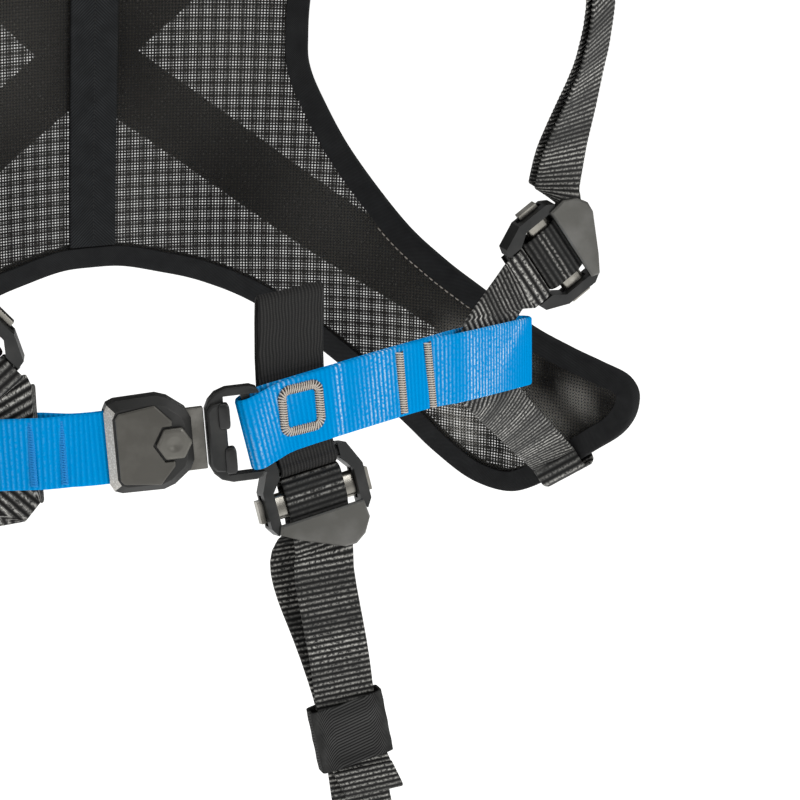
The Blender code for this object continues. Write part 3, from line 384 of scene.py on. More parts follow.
# %% [markdown]
# ## The back panel's form
#
# The back lies on a body, so the panel is a piece of a cylinder that leans forward as it rises and bends
# over the shoulders. Any place on it is given by s, the way round the back, t, the way up, and n, the
# height inwards from the panel's middle sheet.

# %% Panel form
PANEL_RADIUS = 230.0
PANEL_LEAN = 0.138
LEAN_START = 7.5
LEAN_BLEND = 30.0
SHOULDER_START = 150.0
SHOULDER_RADIUS = 120.0
PANEL_ROLL = -0.045
MESH_THICK = 3.0
TAPE_THICK = 0.8
BINDING_GAP = 0.45
BINDING_WIDTH = 9.0
OUTLINE_STEPS = 12
PANEL_OUTLINE = (
    # s, t of the right half
    (0, 6), (14, 5.5), (30, 2), (52, -4), (78, -16), (111, -40),
    (144, -68), (160, -82), (178, -93.4), (196, -96.4), (210, -91), (226, -78.5), (241, -66),
    (254, -55), (261, -44), (262, -33), (256, -26), (242, -23), (226, -19.6), (206, -13), (182, 0.6),
    (163, 12.7), (143.8, 29.2), (119.3, 59.8), (104.4, 85.6), (98.2, 100.5), (97, 113), (97.2, 130),
    (100, 155), (106, 182), (112, 208), (114, 230), (108, 247), (94, 254), (80, 249),
    (70, 232), (60, 212), (46, 198), (25, 190), (0, 188),
)


def sheet_point(s, t):
    """Middle sheet: an arc of PANEL_RADIUS round the back; y falls with a soft lean, then with an arc."""
    low = np.minimum(t, SHOULDER_START)
    rise = low - LEAN_START
    lean = PANEL_LEAN * 0.5 * (rise + np.sqrt(rise ** 2 + LEAN_BLEND ** 2))
    start = math.atan(PANEL_LEAN)
    turn = start + np.maximum(t - SHOULDER_START, 0) / SHOULDER_RADIUS
    angle = s / PANEL_RADIUS
    x = PANEL_RADIUS * np.sin(angle)
    y = -lean - SHOULDER_RADIUS * (math.cos(start) - np.cos(turn)) - PANEL_RADIUS * (1 - np.cos(angle))
    z = low + SHOULDER_RADIUS * (np.sin(turn) - math.sin(start))
    return np.stack([x, y, z], axis=-1)


def panel_point(s, t, n):
    """Middle sheet plus n times its unit normal, which is the cross product of its two slopes."""
    s = np.asarray(s, float)
    t = np.asarray(t, float) + PANEL_ROLL * s
    step = 0.05
    slope_s = sheet_point(s + step, t) - sheet_point(s - step, t)
    slope_t = sheet_point(s, t + step) - sheet_point(s, t - step)
    return sheet_point(s, t) + unit(np.cross(slope_s, slope_t)) * np.asarray(n, float)[..., None]


def inward_of(loop):
    """Unit vectors square to a closed outline that runs with its inside on the left."""
    tangent = unit(np.roll(loop, -1, axis=0) - np.roll(loop, 1, axis=0))
    return np.column_stack([-tangent[:, 1], tangent[:, 0]])


def panel_loop(step):
    """The mesh's whole outline at even steps: the right half, its mirror image, and the binding's inset."""
    right = np.asarray(PANEL_OUTLINE, float)
    ring = np.vstack([right, right[1:-1][::-1] * (-1, 1)])
    ring = np.vstack([ring[-2:], ring, ring[:3]])
    fine = smooth_rows(ring, OUTLINE_STEPS)[2 * OUTLINE_STEPS:-2 * OUTLINE_STEPS]
    length = arc_length(fine)
    at = np.linspace(0, length[-1], int(length[-1] / step), endpoint=False)
    loop = rows_at(at, length, fine)
    return loop + inward_of(loop) * (BINDING_GAP + TAPE_THICK)


# %% [markdown]
# ## See-through mesh
#
# The back is two layers of polyester net, knitted with round holes about 1 mm wide. The holes are too
# many to cut, so the material lets the light through in a grid of round spots. The spots are 1.5 mm apart
# in the inner layer and 1.2 mm in the outer one, and together they make the soft squares that such a
# double net shows. Loose fibres cross the outer layer's holes like a veil, so the light that comes
# through is a little dimmer and warmer than the ground.

# %% Mesh material
HOLE_BLUR = 0.15
RIM_START = 1.1
RIM_END = 1.5


def net_material(name, pitch, hole, veil, dark, light):
    """Opaque outside the round holes, covered by the veil's share inside them; painted highlight round the
    holes.
    """
    material, tree, shader = new_material(name, 0.8, Specular_IOR_Level=0.2)
    place, across, along = split_map(tree)
    lengths = []
    for socket in (across, along):
        cell = add_node(tree, "ShaderNodeMath", {0: socket, 1: 1 / pitch}, operation="MULTIPLY")
        cell = add_node(tree, "ShaderNodeMath", {0: cell}, operation="FRACT")
        lengths.append(add_node(tree, "ShaderNodeMath", {0: cell, 1: -0.5}, operation="ADD"))
    squares = [add_node(tree, "ShaderNodeMath", {0: v, 1: v}, operation="MULTIPLY") for v in lengths]
    away = add_node(tree, "ShaderNodeMath", {0: squares[0], 1: squares[1]}, operation="ADD")
    away = add_node(tree, "ShaderNodeMath", {0: away}, operation="SQRT")
    edge = hole / pitch / 2
    blur = edge * HOLE_BLUR
    solid = add_node(tree, "ShaderNodeMapRange", {0: away, 1: edge - blur, 2: edge + blur, 3: veil, 4: 1.0})
    shine = add_node(tree, "ShaderNodeAttribute", {}, attribute_name="glint").node.outputs["Fac"]
    # Painted highlight: the light colour round the holes, as much as the glint value allows.
    rim = add_node(tree, "ShaderNodeMapRange",
                   {0: away, 1: edge * RIM_START, 2: edge * RIM_END, 3: 1.0, 4: 0.0})
    share = add_node(tree, "ShaderNodeMath", {0: rim, 1: shine}, operation="MULTIPLY")
    colour = add_node(tree, "ShaderNodeMix", {0: share, 6: dark, 7: light}, data_type="RGBA")
    bump = add_node(tree, "ShaderNodeBump", {"Strength": 0.6, "Distance": 0.0003, "Height": solid})
    plug(tree, shader, {"Alpha": solid, "Base Color": colour, "Normal": bump})
    return material


# light is the colour of the painted highlight on each net's threads.
inner_net = net_material("black_polyester_net", pitch=1.5, hole=0.97, veil=0.05,
                         dark="#0c0c0c", light="#d2d0ca")
outer_net = net_material("brown_polyester_net", pitch=1.2, hole=0.8, veil=0.38,
                         dark="#352f28", light="#cdbfa8")
print("materials:", inner_net.name, outer_net.name)

# %% [markdown]
# The panel's outline is cut from a flat grid and carried onto the form, once for each layer. In the wings
# the net is quilted loosely, so it gets shallow wrinkles there: a few sine waves, fading towards the
# binding. The threads round the holes get a painted highlight, faint over the panel and stronger on the
# wing's folds.

# %% Mesh panel
WING_START = 135.0
WING_BLEND = 30.0
WING_TOP = -10.0
WING_TOP_BLEND = 25.0
FOLD_HEIGHT = 1.5
FOLD_MARGIN = 9.0
FOLD_BLEND = 10.0
# Share of painted highlight on the net's threads: faint waves everywhere, more on the wing's folds.
NET_SHINE = 0.09
NET_SHINE_SWING = 0.06
FOLD_SHINE = 0.25
FOLD_SHINE_SWING = 0.6
NET_SQUARE = 5.0
CUT_SHIFT = 0.31
NET_LIFT = 1.2
OUTER_FOLDS = 0.6
LOOP_STEP = 3.0


def wrinkles(s, t, loop):
    """Height of the wing's folds, which is FOLD_HEIGHT times crossed sines, and the net's painted highlight
    share.
    """
    side = np.abs(s)
    wing = np.clip((side - WING_START) / WING_BLEND, 0, 1) * np.clip((WING_TOP - t) / WING_TOP_BLEND, 0, 1)
    gap_s = s[:, None] - loop[None, ::4, 0]
    gap_t = t[:, None] - loop[None, ::4, 1]
    away = np.sqrt((gap_s ** 2 + gap_t ** 2).min(axis=1))
    inside = np.clip((away - FOLD_MARGIN) / FOLD_BLEND, 0, 1)
    folds = np.sin(side / 5.6 + 1.2 * np.sin(t / 9)) * np.sin(t / 7.5 + side / 23)
    shine = NET_SHINE + NET_SHINE_SWING * np.sin(s / 17 + 1) * np.sin(t / 23)
    shine += wing * inside * (FOLD_SHINE + FOLD_SHINE_SWING * folds)
    return FOLD_HEIGHT * wing * inside * folds, np.clip(shine, 0, 1)


def net_layer(loop):
    """Flat outline cut into squares: its (s, t) points, its faces and the edges of its rim."""
    shape = bmesh.new()
    shape.faces.new([shape.verts.new((s, t, 0)) for s, t in loop])
    for axis in (0, 1):
        normal = [0.0, 0.0, 0.0]
        normal[axis] = 1.0
        for place in np.arange(math.floor(loop[:, axis].min()), loop[:, axis].max(), NET_SQUARE):
            point = [0.0, 0.0, 0.0]
            point[axis] = place + CUT_SHIFT
            parts = shape.verts[:] + shape.edges[:] + shape.faces[:]
            bmesh.ops.bisect_plane(shape, geom=parts, plane_co=point, plane_no=normal, dist=0.01)
    bmesh.ops.triangulate(shape, faces=[f for f in shape.faces if len(f.verts) > 4])
    shape.verts.index_update()
    flat = np.array([v.co[:2] for v in shape.verts])
    faces = [[v.index for v in f.verts] for f in shape.faces]
    rim = [[v.index for v in e.verts] for e in shape.edges if len(e.link_faces) == 1]
    shape.free()
    return flat, faces, rim


def mesh_panel():
    """Two net layers NET_LIFT either side of the middle sheet, joined round the rim."""
    loop = panel_loop(LOOP_STEP)
    flat, faces, rim = net_layer(loop)
    lift, shine = wrinkles(flat[:, 0], flat[:, 1], loop)
    count = len(flat)
    inner = panel_point(flat[:, 0], flat[:, 1], NET_LIFT + lift)
    outer = panel_point(flat[:, 0], flat[:, 1], -NET_LIFT + lift * OUTER_FOLDS)
    solid = faces + [[i + count for i in reversed(face)] for face in faces]
    solid += [[a, b, b + count, a + count] for a, b in rim]
    both = np.vstack([flat, flat])
    corner_uv = both[np.concatenate([np.array(face) for face in solid])]
    piece = make_piece("mesh_panel", np.vstack([inner, outer]), solid, corner_uv, [inner_net, outer_net],
                       ["mesh_panel"])
    index = np.zeros(len(solid), np.int32)
    index[len(faces):] = 1
    piece.data.polygons.foreach_set("material_index", index)
    # glint: share of painted highlight on the net.
    layer = piece.data.attributes.new("glint", "FLOAT", "POINT")
    layer.data.foreach_set("value", np.concatenate([shine, shine]))


mesh_panel()

# %% [markdown]
# ## Binding tape
#
# The raw edge of the net is closed with a thin woven tape folded over it. It is a U section carried round
# the outline. The tape is matt. A fine slanted twill shows on it, drawn at 0.9 mm because the real 0.5 mm
# would not show.

# %% Tape material
def tape_material(name, dark, light, pitch, chevrons=False):
    """Twill: ridges across the sum of both map directions, so they run at a slant; chevrons mirror it."""
    material, tree, shader = new_material(name, 0.85, Specular_IOR_Level=0.15)
    place, across, along = split_map(tree)
    if chevrons:
        across = add_node(tree, "ShaderNodeMath", {0: across}, operation="ABSOLUTE")
    slant = add_node(tree, "ShaderNodeMath", {0: along, 1: across}, operation="ADD")
    ridge = wave(tree, slant, pitch)
    cloud = add_node(tree, "ShaderNodeTexNoise", {"Vector": place, "Scale": 0.12, "Detail": 3.0})
    share = add_node(tree, "ShaderNodeMath", {0: ridge, 1: cloud}, operation="MULTIPLY")
    colour = add_node(tree, "ShaderNodeMix", {0: share, 6: dark, 7: light}, data_type="RGBA")
    bump = add_node(tree, "ShaderNodeBump", {"Strength": 0.35, "Distance": 0.0002, "Height": ridge})
    plug(tree, shader, {"Base Color": colour, "Normal": bump})
    return material


binding_tape = tape_material("black_binding_tape", "#141415", "#343536", 0.9)
print("material:", binding_tape.name)

# %% Edge binding
BINDING_STEP = 2.0
LIP_HEIGHT = 0.25
LIP_WIDTH = 0.15
INNER_ROUND = 0.25
PUCKERS = (
    # height, length along the edge over 2 pi, start
    (0.12, 2.3, 0.0), (0.1, 5.1, 1.0),
)


def edge_binding():
    """U section: two flat legs of BINDING_WIDTH joined by a half round over the net's edge."""
    loop = panel_loop(BINDING_STEP)
    inward = inward_of(loop)
    inside = MESH_THICK / 2 + BINDING_GAP
    outside = inside + TAPE_THICK
    turn = np.linspace(math.pi / 2, -math.pi / 2, 9)
    squash = (BINDING_GAP + TAPE_THICK) / outside
    outer = [(-outside * squash * math.cos(a), outside * math.sin(a)) for a in turn]
    inner = [(-inside * INNER_ROUND * math.cos(a), inside * math.sin(a)) for a in turn[::2]]
    leg = [BINDING_WIDTH - LIP_WIDTH, BINDING_WIDTH * 0.66, BINDING_WIDTH * 0.33]
    section = [(BINDING_WIDTH, outside - LIP_HEIGHT)] + [(w, outside) for w in leg] + outer
    section += [(w, -outside) for w in leg[::-1]]
    section += [(BINDING_WIDTH, -outside + LIP_HEIGHT), (BINDING_WIDTH, -inside)]
    section += inner[::-1] + [(BINDING_WIDTH, inside)]
    section = np.array(section)
    at = np.arange(len(loop)) * BINDING_STEP
    puckers = sum(high * np.sin(at / spread + start) for high, spread, start in PUCKERS)
    place = loop[:, None, :] + inward[:, None, :] * section[None, :, :1]
    grow = 1 + puckers[:, None] * (np.abs(section[None, :, 1]) > inside + 0.3) / outside
    points = panel_point(place[..., 0], place[..., 1], section[None, :, 1] * grow)
    uv = np.stack(np.broadcast_arrays(arc_length(section)[None, :], at[:, None]), axis=-1)
    tube_piece("edge_binding", points, uv, True, BINDING_STEP * len(loop), binding_tape,
               ["edge_binding"])


edge_binding()

# %% [markdown]
# ## Bands on the panel
#
# A black tape with a herringbone weave runs up the middle of the inner face. Two 30 mm webbings cross on
# the outer face and run from the wings to the shoulders. They carry the load, and show dark through the
# net.

# %% Centre band and crossed webbing
BAND_WIDTH = 22.0
BAND_THICK = 1.5
BAND_FLOOR = MESH_THICK / 2 + GAP + 0.2
BAND_MARGIN = 0.9
BAND_ROWS = 60
BACK_WEB_WIDTH = 30.0
BACK_WEB_DEPTH = 4.5
CROSSING_REACH = 45.0
CROSSING_RISE = WEB_THICK + 0.6
BACK_WEB_LINE = (
    # s, t
    (246, -52), (225, -43), (200, -29), (155, -4), (105, 25), (41, 72), (0, 104),
    (-32, 134), (-60, 163), (-80, 195), (-90, 222), (-94, 246),
)
centre_tape = tape_material("black_herringbone_tape", "#121314", "#3a3c3e", 1.5, chevrons=True)


def centre_band():
    """Flat tape on the panel's inner face, up its middle."""
    margin = BINDING_WIDTH + BINDING_GAP + TAPE_THICK + BAND_MARGIN
    t = np.linspace(PANEL_OUTLINE[0][1] + margin, PANEL_OUTLINE[-1][1] - margin, BAND_ROWS)
    n = np.full(len(t), BAND_FLOOR + BAND_THICK / 2)
    left, right = (panel_point(np.full(len(t), side * BAND_WIDTH / 2), t, n) for side in (-1, 1))
    strap("centre_band", left, right, BAND_THICK, centre_tape, pitch=6.0, relief=0.05)


def back_webbing(name, side, over):
    """One crossed webbing; over is the outermost, which rises by its own thickness at the crossing."""
    line = smooth_rows(BACK_WEB_LINE, 6)
    tangent = unit(np.gradient(line, axis=0))
    across = np.column_stack([-tangent[:, 1], tangent[:, 0]]) * BACK_WEB_WIDTH / 2
    crossing = np.exp(-(line[:, 0] / CROSSING_REACH) ** 2) * CROSSING_RISE if over else 0.0
    n = -(BACK_WEB_DEPTH + crossing) * np.ones(len(line))
    left, right = (panel_point(side * (line + sign * across)[:, 0], (line + sign * across)[:, 1], n)
                   for sign in (-1, 1))
    strap(name, left, right, WEB_THICK, black_webbing)


centre_band()
back_webbing("back_webbing_right", 1, False)
back_webbing("back_webbing_left", -1, True)

# %% [markdown]
# ## Adjusters and the straps on them
#
# Each adjuster is the same fitting: a fixed bar, a sliding bar that pinches the webbing, and a face
# plate. Its own axes are u across, v towards the plate and w outwards. Webbing wraps the bars, so its
# path is worked out in those axes and turned into the object's. The roll round the sliding bar lies in
# the plate's shade, which is painted by taking its glint away, and one painted highlight line runs along it.

# %% Adjuster axes and wraps
FIXED_BAR_V = -17.0
SLIDE_BAR_V = -2.0
SLIDE_BAR_W = -1.5
SLIDE_BAR_FLAT = 3.0
ROLL_REACH = 3.9
# Glint share near the slide bar: little, for painted shade, and one painted highlight line.
ROLL_DARK = 0.05
ROLL_SHINE = 0.8
ROLL_SHINE_V = -1.5
ROLL_SHINE_WIDTH = 1.6
ROLL_NEAR = 2.6
ROLL_FADE = 5.0
BAR_RADIUS = 2.4
WRAP_RADIUS = BAR_RADIUS + GAP + WEB_THICK / 2
ADJUSTERS = {
    # name: origin, along (towards the plate), across
    "lower": ((27.4, -186.0, -45.2), (0.135, -0.264, -0.954), (-0.990, 0.0, -0.140)),
    "right": ((166.2, -135.0, 28.2), (0.836, -0.032, 0.548), (0.547, -0.043, -0.836)),
    "left": ((-111.6, -159.6, 30.6), (-0.620, 0.250, 0.740), (0.740, -0.280, 0.620)),
}
SHOULDER_WRAP_FRONT = ((13.5, -6.4), (9.0, -2.6), (5.0, 0.3))
SHOULDER_WRAP_REAR = ((6.0, -6.2), (10.5, -8.6), (14.5, -11.6))
LOWER_WRAP_FRONT = ((20.0, -4.0), (12.0, -1.0), (5.0, 0.6))
LOWER_WRAP_REAR = ((5.5, -5.8), (10.5, -8.0))


def adjuster_axes(name):
    """Origin of an adjuster and its axes: across, along (towards the plate) and out (towards the viewer)."""
    origin, along, across = ADJUSTERS[name]
    along, across, back = axes_from(along, across)
    return np.asarray(origin, float), across, along, -back


def wrap_slide_bar(name, front, rear):
    """Path round the slide bar: front rows, two quarter turns and a half turn of WRAP_RADIUS, rear rows."""
    origin, across, along, out = adjuster_axes(name)
    rows = list(front)
    turns = [(1, 65), (1, 90)] + [(-1, degrees) for degrees in range(90, 271, 18)]
    for end, degrees in turns + [(1, 270)]:
        angle = math.radians(degrees)
        middle = SLIDE_BAR_V + end * SLIDE_BAR_FLAT - (ROLL_REACH if end < 0 else 0.0)
        rows.append((middle + WRAP_RADIUS * math.cos(angle),
                     SLIDE_BAR_W + WRAP_RADIUS * math.sin(angle)))
    rows += list(rear)
    return np.array([origin + v * along + w * out for v, w in rows]), across


def roll_glints(name):
    """Glint rule round a slide bar: painted shade (little glint) near the bar but for one painted highlight
    line.
    """
    origin, across, along, out = adjuster_axes(name)

    def rule(points, walk):
        """Default glint far from the bar, blended close to it into painted shade plus a highlight bell curve
        of v.
        """
        v = (points - origin) @ along - SLIDE_BAR_V
        w = (points - origin) @ out - SLIDE_BAR_W
        near = np.clip(ROLL_NEAR - np.sqrt(v ** 2 + w ** 2) / ROLL_FADE, 0, 1)
        line = np.exp(-((v - ROLL_SHINE_V) / ROLL_SHINE_WIDTH) ** 2)
        return scattered(points, walk) * (1 - near) + near * (ROLL_DARK + ROLL_SHINE * line)
    return rule


# %% [markdown]
# ## Shoulder straps
#
# Each strap lies on the panel's shoulder lobe, goes over the shoulder and down to its adjuster, turns
# round the sliding bar, and comes back up behind itself as a free tail.

# %% Shoulder straps
BACK_LIFT = BACK_WEB_DEPTH + WEB_THICK + GAP + 0.3
TAIL_SHARE = 0.56
TAIL_STEP_LOW = 4.6
TAIL_STEP_TOP = 2.4
LOBE_LINE = (
    # s, t
    (91, 226), (92.5, 236), (94, 246), (95, 256),
)
SHOULDER_LINE = (
    # x, y, z, width x, width y, width z
    (94, -116, 250.5, 0.93, -0.28, -0.10),
    (104, -134, 251, 0.95, 0.00, -0.10),
    (125, -147, 242, 0.86, 0.36, 0.05),
    (147, -154.5, 220, 0.76, 0.55, 0.20),
    (162, -158, 192, 0.74, 0.60, 0.24),
    (170.5, -158.5, 165, 0.75, 0.62, 0.20),
    (173.2, -157, 141, 0.76, 0.61, 0.20),
    (173.7, -151, 119, 0.81, 0.57, 0.16),
    (172.8, -145.5, 104.5, 0.86, 0.51, 0.12),
    (171.2, -139.5, 88.5, 0.92, 0.38, 0.04),
    (169.7, -133, 72, 0.97, 0.25, 0.01),
    (169.8, -126.5, 53, 0.96, 0.20, -0.18),
)
SHOULDER_LINE_LEFT = (
    (94, -116, 250.5, 0.93, -0.28, -0.10),
    (104, -134, 251, 0.95, 0.00, -0.10),
    (121, -148, 243, 0.86, 0.34, 0.02),
    (136, -157, 222, 0.78, 0.50, 0.10),
    (143, -161, 194, 0.77, 0.55, 0.08),
    (144, -161, 165, 0.80, 0.50, 0.00),
    (141, -158, 138, 0.83, 0.42, -0.08),
    (136, -155, 112, 0.84, 0.30, -0.16),
    (129.5, -151.5, 86, 0.84, 0.10, -0.28),
    (123.5, -148, 62, 0.80, -0.10, -0.40),
)


def shoulder_strap(name, side, adjuster, table):
    """Lobe rows, the smoothed table, the wrap round the slide bar, and the tail a few millimetres inside."""
    table = smooth_rows(table, 3)
    line = table[:, :3] * (side, 1, 1)
    widths = table[:, 3:] * (side, 1, 1)
    lobe = np.array(LOBE_LINE, float)
    start = panel_point(side * lobe[:, 0], lobe[:, 1] - PANEL_ROLL * side * lobe[:, 0],
                        np.full(len(lobe), -BACK_LIFT))
    turn = lobe[:, 0].mean() / PANEL_RADIUS
    start_widths = np.tile([side * math.cos(turn), -math.sin(turn), 0.0], (len(lobe), 1))
    wrap, across = wrap_slide_bar(adjuster, SHOULDER_WRAP_FRONT, SHOULDER_WRAP_REAR)
    if across.dot(widths[-1]) < 0:
        across = -across
    inner = -unit(np.cross(np.gradient(line, axis=0), widths)) * side
    count = int(len(line) * TAIL_SHARE)
    steps = np.linspace(TAIL_STEP_LOW, TAIL_STEP_TOP, count)[:, None]
    tail = line[::-1][:count] + inner[::-1][:count] * steps
    path = np.vstack([start, line, wrap, tail])
    across_all = np.vstack([start_widths, widths, np.tile(across, (len(wrap), 1)), widths[::-1][:count]])
    left, right = band_edges(path, across_all, WEB_WIDTH)
    strap(name, left, right, WEB_THICK, black_webbing, sigma_mm=0.7, glints=roll_glints(adjuster))


shoulder_strap("shoulder_strap_right", 1, "right", SHOULDER_LINE)
shoulder_strap("shoulder_strap_left", -1, "left", SHOULDER_LINE_LEFT)

# %% [markdown]
# ## Chest strap
#
# Each side of the blue strap is a flat loop of webbing, sewn shut except at its ends: one end turns round
# the buckle's bar, the other lets the black front webbing through. In plan it lies on a parabola round
# the chest. The same weave in a bright blue hides its grooves, so the painted groove shade and the rib
# differ little, and the strap reads by its pale shine, a painted highlight which lies in a few patches.

# %% Chest strap
BLUE_PITCH = 2.1
# No specular reflection: the blue strap's shine is all painted highlight.
BLUE_GLOSS = 0.0
CHEST_CENTRE_X = 8.0
CHEST_FRONT_Y = -190.0
CHEST_CURVE = 400.0
CHEST_TILT = 0.09
CHEST_TILT_Z = -5.0
BUCKLE_ORIGIN = np.array([-37.7, -183.0, -9.6])
BUCKLE_ALONG = (0.970, -0.236, 0.050)
BUCKLE_UP = (-0.09, 0.10, 0.99)
BUCKLE_BAR_ALONG = 37.0
BUCKLE_BAR_LEAN = 0.16
FRAME_DROP = 0.8
CLOSED_HALF_GAP = 0.2
BAR_LOOP_GAP = 2.9
LEAN_ROWS = 3
END_TURN = (15, 30, 50, 70, 90, 110, 130, 150, 165)
CHEST_RIGHT = (
    # x, z, half gap
    (6, -6.6, 2.3), (14, -5.0, 0.4), (34, -3.0, 0.2), (60, -1.9, 0.2), (84, -2.5, 0.3),
    (96, -3.8, 2.4), (112, -5.8, 3.1), (130, -8.8, 3.1), (143.5, -11.4, 3.1),
)
CHEST_LEFT = (
    (-72, -10.9, 0.3), (-81, -11.0, 2.6), (-96, -11.3, 3.1), (-112, -12.4, 3.1), (-127, -14.0, 3.1),
)


def chest_point(x, z, depth=0.0):
    """Chest strap's middle surface: y falls back with (x - centre)^2 / CHEST_CURVE; depth is forwards."""
    x, z, depth = np.broadcast_arrays(*(np.asarray(v, float) for v in (x, z, depth)))
    y = CHEST_FRONT_Y + (x - CHEST_CENTRE_X) ** 2 / CHEST_CURVE + CHEST_TILT * (z - CHEST_TILT_Z)
    slope = 2 * (x - CHEST_CENTRE_X) / CHEST_CURVE
    size = np.hypot(1.0, slope)
    return np.stack([x + slope / size * depth, y - depth / size, z], axis=-1)


def loop_edges(base, across, half_gaps):
    """Front line, a half turn, the back line the other way and a half turn, with their width directions."""
    tangent = unit(np.gradient(base, axis=0))
    forward = unit(np.cross(tangent, across))
    offset = (np.asarray(half_gaps) + BLUE_THICK / 2)[:, None]
    arcs = []
    angle = np.radians(END_TURN)[:, None]
    for index, sign in ((-1, 1), (0, -1)):
        arcs.append(base[index] + sign * offset[index] * (forward[index] * np.cos(angle)
                                                          + tangent[index] * np.sin(angle)))
    path = np.vstack([base + forward * offset, arcs[0], (base - forward * offset)[::-1], arcs[1]])
    ends = [np.repeat(across[index][None], len(angle), axis=0) for index in (-1, 0)]
    widths = np.vstack([across, ends[0], across[::-1], ends[1]])
    return band_edges(path, widths, BLUE_WIDTH)


# Bands of painted highlight along the blue strap.
GLINT_BANDS = (
    # middle and half width along x, slope against z, strength of the painted highlight
    (37.0, 1.8, 0.0, 0.95), (57.0, 8.0, 0.15, 0.75), (90.0, 5.0, 0.0, 0.45), (107.0, 4.5, 0.0, 0.75),
    (121.0, 11.0, 0.3, 0.7), (135.0, 4.0, 1.2, 1.0), (6.0, 7.0, 0.5, 0.5), (-110.0, 30.0, 0.0, 0.1),
)


def blue_glints(points, along):
    """Sum of bell curves of x less slope times z: painted highlight where the strap bends towards the light.
    """
    shine = np.zeros(points.shape[:2])
    for middle, spread, slope, strength in GLINT_BANDS:
        shine += strength * np.exp(-((points[..., 0] - slope * points[..., 2] - middle) / spread) ** 2)
    return shine


def chest_strap(name, table, start, start_gap, start_across, lean_x):
    """Closed loop whose width stands up with a lean, square to the line except round the buckle's bar."""
    table = np.asarray(table, float)
    start = np.asarray(start, float).reshape(-1, 3)
    base = smooth_rows(np.vstack([start, chest_point(table[:, 0], table[:, 1])]), 2)
    gaps = smooth_rows(np.concatenate([np.full(len(start), start_gap), table[:, 2]])[:, None], 2)[:, 0]
    gaps = np.maximum(gaps, CLOSED_HALF_GAP)
    across = np.repeat(np.array([[lean_x, CHEST_TILT, 1.0]]), len(base), axis=0)
    share = np.clip(1 - np.arange(len(base)) / LEAN_ROWS, 0, 1)[:, None]
    across = unit(across * (1 - share) + np.asarray(start_across) * share)
    tangent = unit(np.gradient(base, axis=0))
    across = unit(across - (1 - share) * np.sum(across * tangent, axis=1, keepdims=True) * tangent)
    left, right = loop_edges(base, across, gaps)
    strap(name, left, right, BLUE_THICK, blue_webbing, closed=True, pitch=BLUE_PITCH,
          relief=0.25, sigma_mm=0.5, glints=blue_glints)


# Blue webbing: painted groove shade, and a painted glint highlight in the bands of GLINT_BANDS.
blue_webbing = webbing_material("blue_polyester_webbing", groove_shade="#0086cc", rib="#0092d8", glint="#f0f8fd",
                                pitch=BLUE_PITCH, gloss=BLUE_GLOSS)
buckle_along, buckle_up, buckle_out = axes_from(BUCKLE_ALONG, BUCKLE_UP)
bar_middle = BUCKLE_ORIGIN + BUCKLE_BAR_ALONG * buckle_along - buckle_up * FRAME_DROP
chest_strap("chest_strap_right", CHEST_RIGHT, bar_middle, BAR_LOOP_GAP,
            buckle_up - BUCKLE_BAR_LEAN * buckle_along, -0.06)
chest_strap("chest_strap_left", CHEST_LEFT, [BUCKLE_ORIGIN + u * buckle_along for u in (-10.0, -26.0)],
            CLOSED_HALF_GAP, buckle_up, -0.10)

# %% [markdown]
# ## Front webbing
#
# On each side a black webbing is sewn to the wing, wraps its lower edge, passes through the blue loop
# folded on itself along an upright crease, and goes up to the adjuster's fixed bar. It is listed as pairs
# of edge points, because at a fold the two edges go different ways. The path comes forwards steeply from
# the wing, so its ribs are drawn wider than the other straps', or they would run together in the picture.

# %% Front webbing
COARSE_PITCH = 3.2
FOLD_INNER = np.array([210.0, -92.5])
FOLD_OUTER = np.array([242.0, -68.0])
FOLD_STATIONS = (
    # distance beyond the fold line, height above the panel's middle sheet
    (-38.0, -6.4), (-20.0, -6.4), (-8.0, -6.4), (-1.8, -6.4), (0.4, -5.7), (1.5, -4.0), (1.8, -1.4),
    (1.6, 1.3), (0.8, 3.1), (-1.0, 4.1), (-8.0, 4.3),
)
FRONT_WEB = {
    # side: crease x, z and half length, lower crossing, upper crossing, all as (x, z) on the chest strap
    1: ((99.7, -5.4, 11.0), ((109.0, -27.0), (143.0, -28.0)), ((144.0, 7.0), (105.0, 14.0))),
    -1: ((-84.0, -8.0, 24.0), ((-90.0, -40.0), (-124.0, -31.0)), ((-103.0, 4.8), (-85.5, 20.0))),
}
CREASE_GAP = 0.25
BAR_ENTRY = 6.5
BAR_CLEARANCE = 0.2
SEWN_TAIL = 5.0


def wing_fold(side):
    """Edge pairs round the wing's lower edge, half a width either way along the fold line."""
    along = unit(FOLD_OUTER - FOLD_INNER)
    out = np.array([along[1], -along[0]])
    middle = (FOLD_INNER + FOLD_OUTER) / 2
    pairs = []
    for outwards, n in FOLD_STATIONS:
        ends = [middle + out * outwards + sign * along * WEB_WIDTH / 2 for sign in (-1, 1)]
        pairs.append([panel_point(side * end[0], end[1], np.array(n)) for end in ends])
    return pairs


